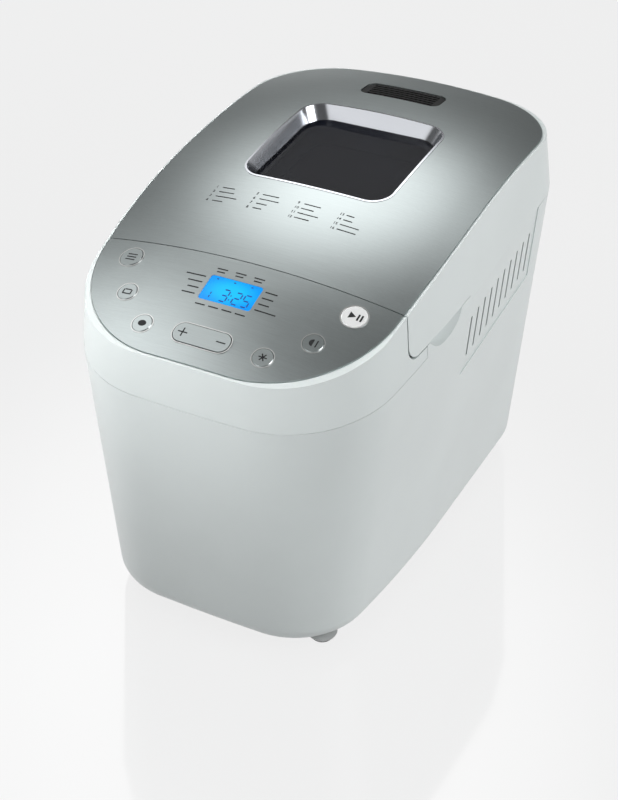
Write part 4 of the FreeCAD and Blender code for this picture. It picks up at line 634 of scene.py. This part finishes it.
LIST_X, LIST_Y = -63.5 * MM, -36.2 * MM
COLUMN_PITCH, ROW_PITCH, COLUMN_ROWS = 32.4 * MM, 5.0 * MM, 4
NUMBER_SIZE = 3.4 * MM
LINE_INDENT, LINE_RISE, LINE_STROKE = 5.0 * MM, 1.1 * MM, 0.8 * MM
LINE_LENGTHS = (13, 16, 22, 11, 17, 20, 11, 9, 17, 13, 21, 15, 8, 9, 19, 19)
LINE_UNIT = 0.75 * MM
programmes = bmesh.new()
for index, units in enumerate(LINE_LENGTHS):
    column, row = divmod(index, COLUMN_ROWS)
    text_x = LIST_X + column * COLUMN_PITCH
    text_y = LIST_Y - row * ROW_PITCH
    length = units * LINE_UNIT
    add_text(programmes, str(index + 1), text_x, text_y, NUMBER_SIZE)
    line_x = text_x + LINE_INDENT + length / 2
    add_bar(programmes, line_x, text_y + LINE_RISE, length, LINE_STROKE, INK_HEIGHT)
drape(programmes, INK_LIFT)
settle("programme_numbers", programmes, DARK_INK, "lid")

# Push buttons and rocker
# Satin caps stand just above the steel, each in a raised pale ring. They carry plain signs:
# bars, a frame, a dot, a star of bars, a half disc, and a wedge with two bars on the start key.
key_pale = moulded("key_pale", (0.72, 0.73, 0.725), 0.38)
ring_metal = satin_silver("ring_silver", (0.80, 0.81, 0.80), 0.30)
KEYS = {
    "menu": (-84.6, -114.3, 8.5), "loaf_size": (-69.8, -142.9, 7.2), "dough": (-45.0, -164.0, 7.2),
    "custom": (45.0, -164.0, 7.2), "crust": (69.8, -142.9, 7.2), "start": (84.6, -114.3, 9.0),
}
KEY_PROUD = 0.5 * MM
RING_GAP, RING_WIDTH, RING_HEIGHT = 0.04 * MM, 0.65 * MM, 0.22 * MM
dress(steel_skin, "adjust_rocker", *(f"{name}_button" for name in KEYS if name != "start"))
dress(key_pale, "start_button")


def add_ring(shape, half_x, half_y, corner, put, gap=RING_GAP):
    """A low raised ring round an opening of rounded rectangular or round plan."""
    loops = []
    for grow in (gap, gap + RING_WIDTH):
        radius = corner + grow
        circle = bmesh.ops.create_circle(shape, cap_ends=False, radius=radius, segments=64)["verts"]
        for vert in circle:
            vert.co.x += math.copysign(half_x - corner, vert.co.x)
            vert.co.y += math.copysign(half_y - corner, vert.co.y)
        loops.append(circle)
    edges = dict.fromkeys(e for loop in loops for v in loop for e in v.link_edges)
    flat = bmesh.ops.bridge_loops(shape, edges=list(edges))["faces"]
    raised = bmesh.ops.extrude_face_region(shape, geom=flat)["geom"]
    top = [item for item in raised if isinstance(item, bmesh.types.BMVert)]
    bmesh.ops.translate(shape, verts=top, vec=(0, 0, RING_HEIGHT))
    bmesh.ops.transform(shape, matrix=put, verts=loops[0] + loops[1] + top)


rings = bmesh.new()
for key_x, key_y, key_radius in KEYS.values():
    key_radius *= MM
    add_ring(rings, key_radius, key_radius, key_radius, crown_frame(key_x * MM, key_y * MM))
ROCKER_Y = -163.5 * MM
ROCKER_HALF, ROCKER_WIDE, ROCKER_CORNER = 20.5 * MM, 7.4 * MM, 6.7 * MM
ROCKER_RING_GAP = 0.6 * MM
add_ring(rings, ROCKER_HALF, ROCKER_WIDE, ROCKER_CORNER, crown_frame(0, ROCKER_Y), ROCKER_RING_GAP)
settle("key_rings", rings, ring_metal, "root")

STROKE = 0.9 * MM


def add_disc(shape, radius, segments=32):
    """A flat disc, or with three segments a wedge, at the middle of a key."""
    return bmesh.ops.create_cone(shape, cap_ends=True, segments=segments, radius1=radius, radius2=radius,
                                 depth=INK_HEIGHT)["verts"]


def sign_bars(shape):
    """Three bars, one above the other."""
    length, pitch = 7.5 * MM, 2.4 * MM
    for line in (-1, 0, 1):
        add_bar(shape, 0, line * pitch, length, STROKE, INK_HEIGHT)


def sign_frame(shape):
    """A frame, a little narrower at its top."""
    foot, top, rise = 6.6 * MM, 5.0 * MM, 1.8 * MM
    side_x, side = 3.0 * MM, 3.6 * MM
    add_bar(shape, 0, -rise, foot, STROKE, INK_HEIGHT)
    add_bar(shape, 0, rise, top, STROKE, INK_HEIGHT)
    for hand in (-1, 1):
        add_bar(shape, hand * side_x, 0, side, STROKE, INK_HEIGHT, math.pi / 2)


def sign_dot(shape):
    """A slightly flattened ball."""
    bmesh.ops.scale(shape, vec=(1.25, 1.0, 1.0), verts=add_disc(shape, 2.4 * MM))


def sign_star(shape):
    """Three crossed bars."""
    for turn in range(3):
        add_bar(shape, 0, 0, 6.0 * MM, STROKE, INK_HEIGHT, turn * math.pi / 3)


def sign_half(shape):
    """A half disc beside an upright bar."""
    radius, bar_x = 2.8 * MM, 2.4 * MM
    add_disc(shape, radius)
    bmesh.ops.bisect_plane(shape, geom=shape.verts[:] + shape.edges[:] + shape.faces[:],
                           plane_co=(0, 0, 0), plane_no=(1, 0, 0), clear_outer=True)
    bmesh.ops.holes_fill(shape, edges=shape.edges[:])
    add_bar(shape, bar_x, 0, 2 * radius, STROKE, INK_HEIGHT, math.pi / 2)


def sign_start(shape):
    """A wedge beside a pair of upright bars."""
    wedge_x, pair_x, pair_gap = -2.2 * MM, 2.6 * MM, 2.4 * MM
    bar_length, bar_stroke = 5.4 * MM, 1.3 * MM
    wedge = add_disc(shape, 3.2 * MM, 3)
    bmesh.ops.rotate(shape, verts=wedge, cent=(0, 0, 0), matrix=Matrix.Rotation(-math.pi / 2, 3, "Z"))
    bmesh.ops.translate(shape, verts=wedge, vec=(wedge_x, 0, 0))
    for bar in (0, 1):
        add_bar(shape, pair_x + pair_gap * bar, 0, bar_length, bar_stroke, INK_HEIGHT, math.pi / 2)


SIGNS = {"menu": sign_bars, "loaf_size": sign_frame, "dough": sign_dot, "custom": sign_star,
         "crust": sign_half, "start": sign_start}
for name, draw in SIGNS.items():
    key_x, key_y, _ = KEYS[name]
    sign = bmesh.new()
    draw(sign)
    bmesh.ops.translate(sign, verts=sign.verts, vec=(0, 0, KEY_PROUD + INK_LIFT))
    bmesh.ops.transform(sign, matrix=crown_frame(key_x * MM, key_y * MM), verts=sign.verts)
    settle(f"{name}_sign", sign, DARK_INK, f"{name}_key")

SIGN_X, SIGN_LENGTH = 14.2 * MM, 7.0 * MM
rocker_signs = bmesh.new()
for sign_x, turn in ((-SIGN_X, 0), (-SIGN_X, math.pi / 2), (SIGN_X, 0)):
    add_bar(rocker_signs, sign_x, 0, SIGN_LENGTH, STROKE, INK_HEIGHT, turn)
bmesh.ops.translate(rocker_signs, verts=rocker_signs.verts, vec=(0, 0, KEY_PROUD + INK_LIFT))
bmesh.ops.transform(rocker_signs, matrix=crown_frame(0, ROCKER_Y), verts=rocker_signs.verts)
settle("rocker_signs", rocker_signs, DARK_INK, "rocker")
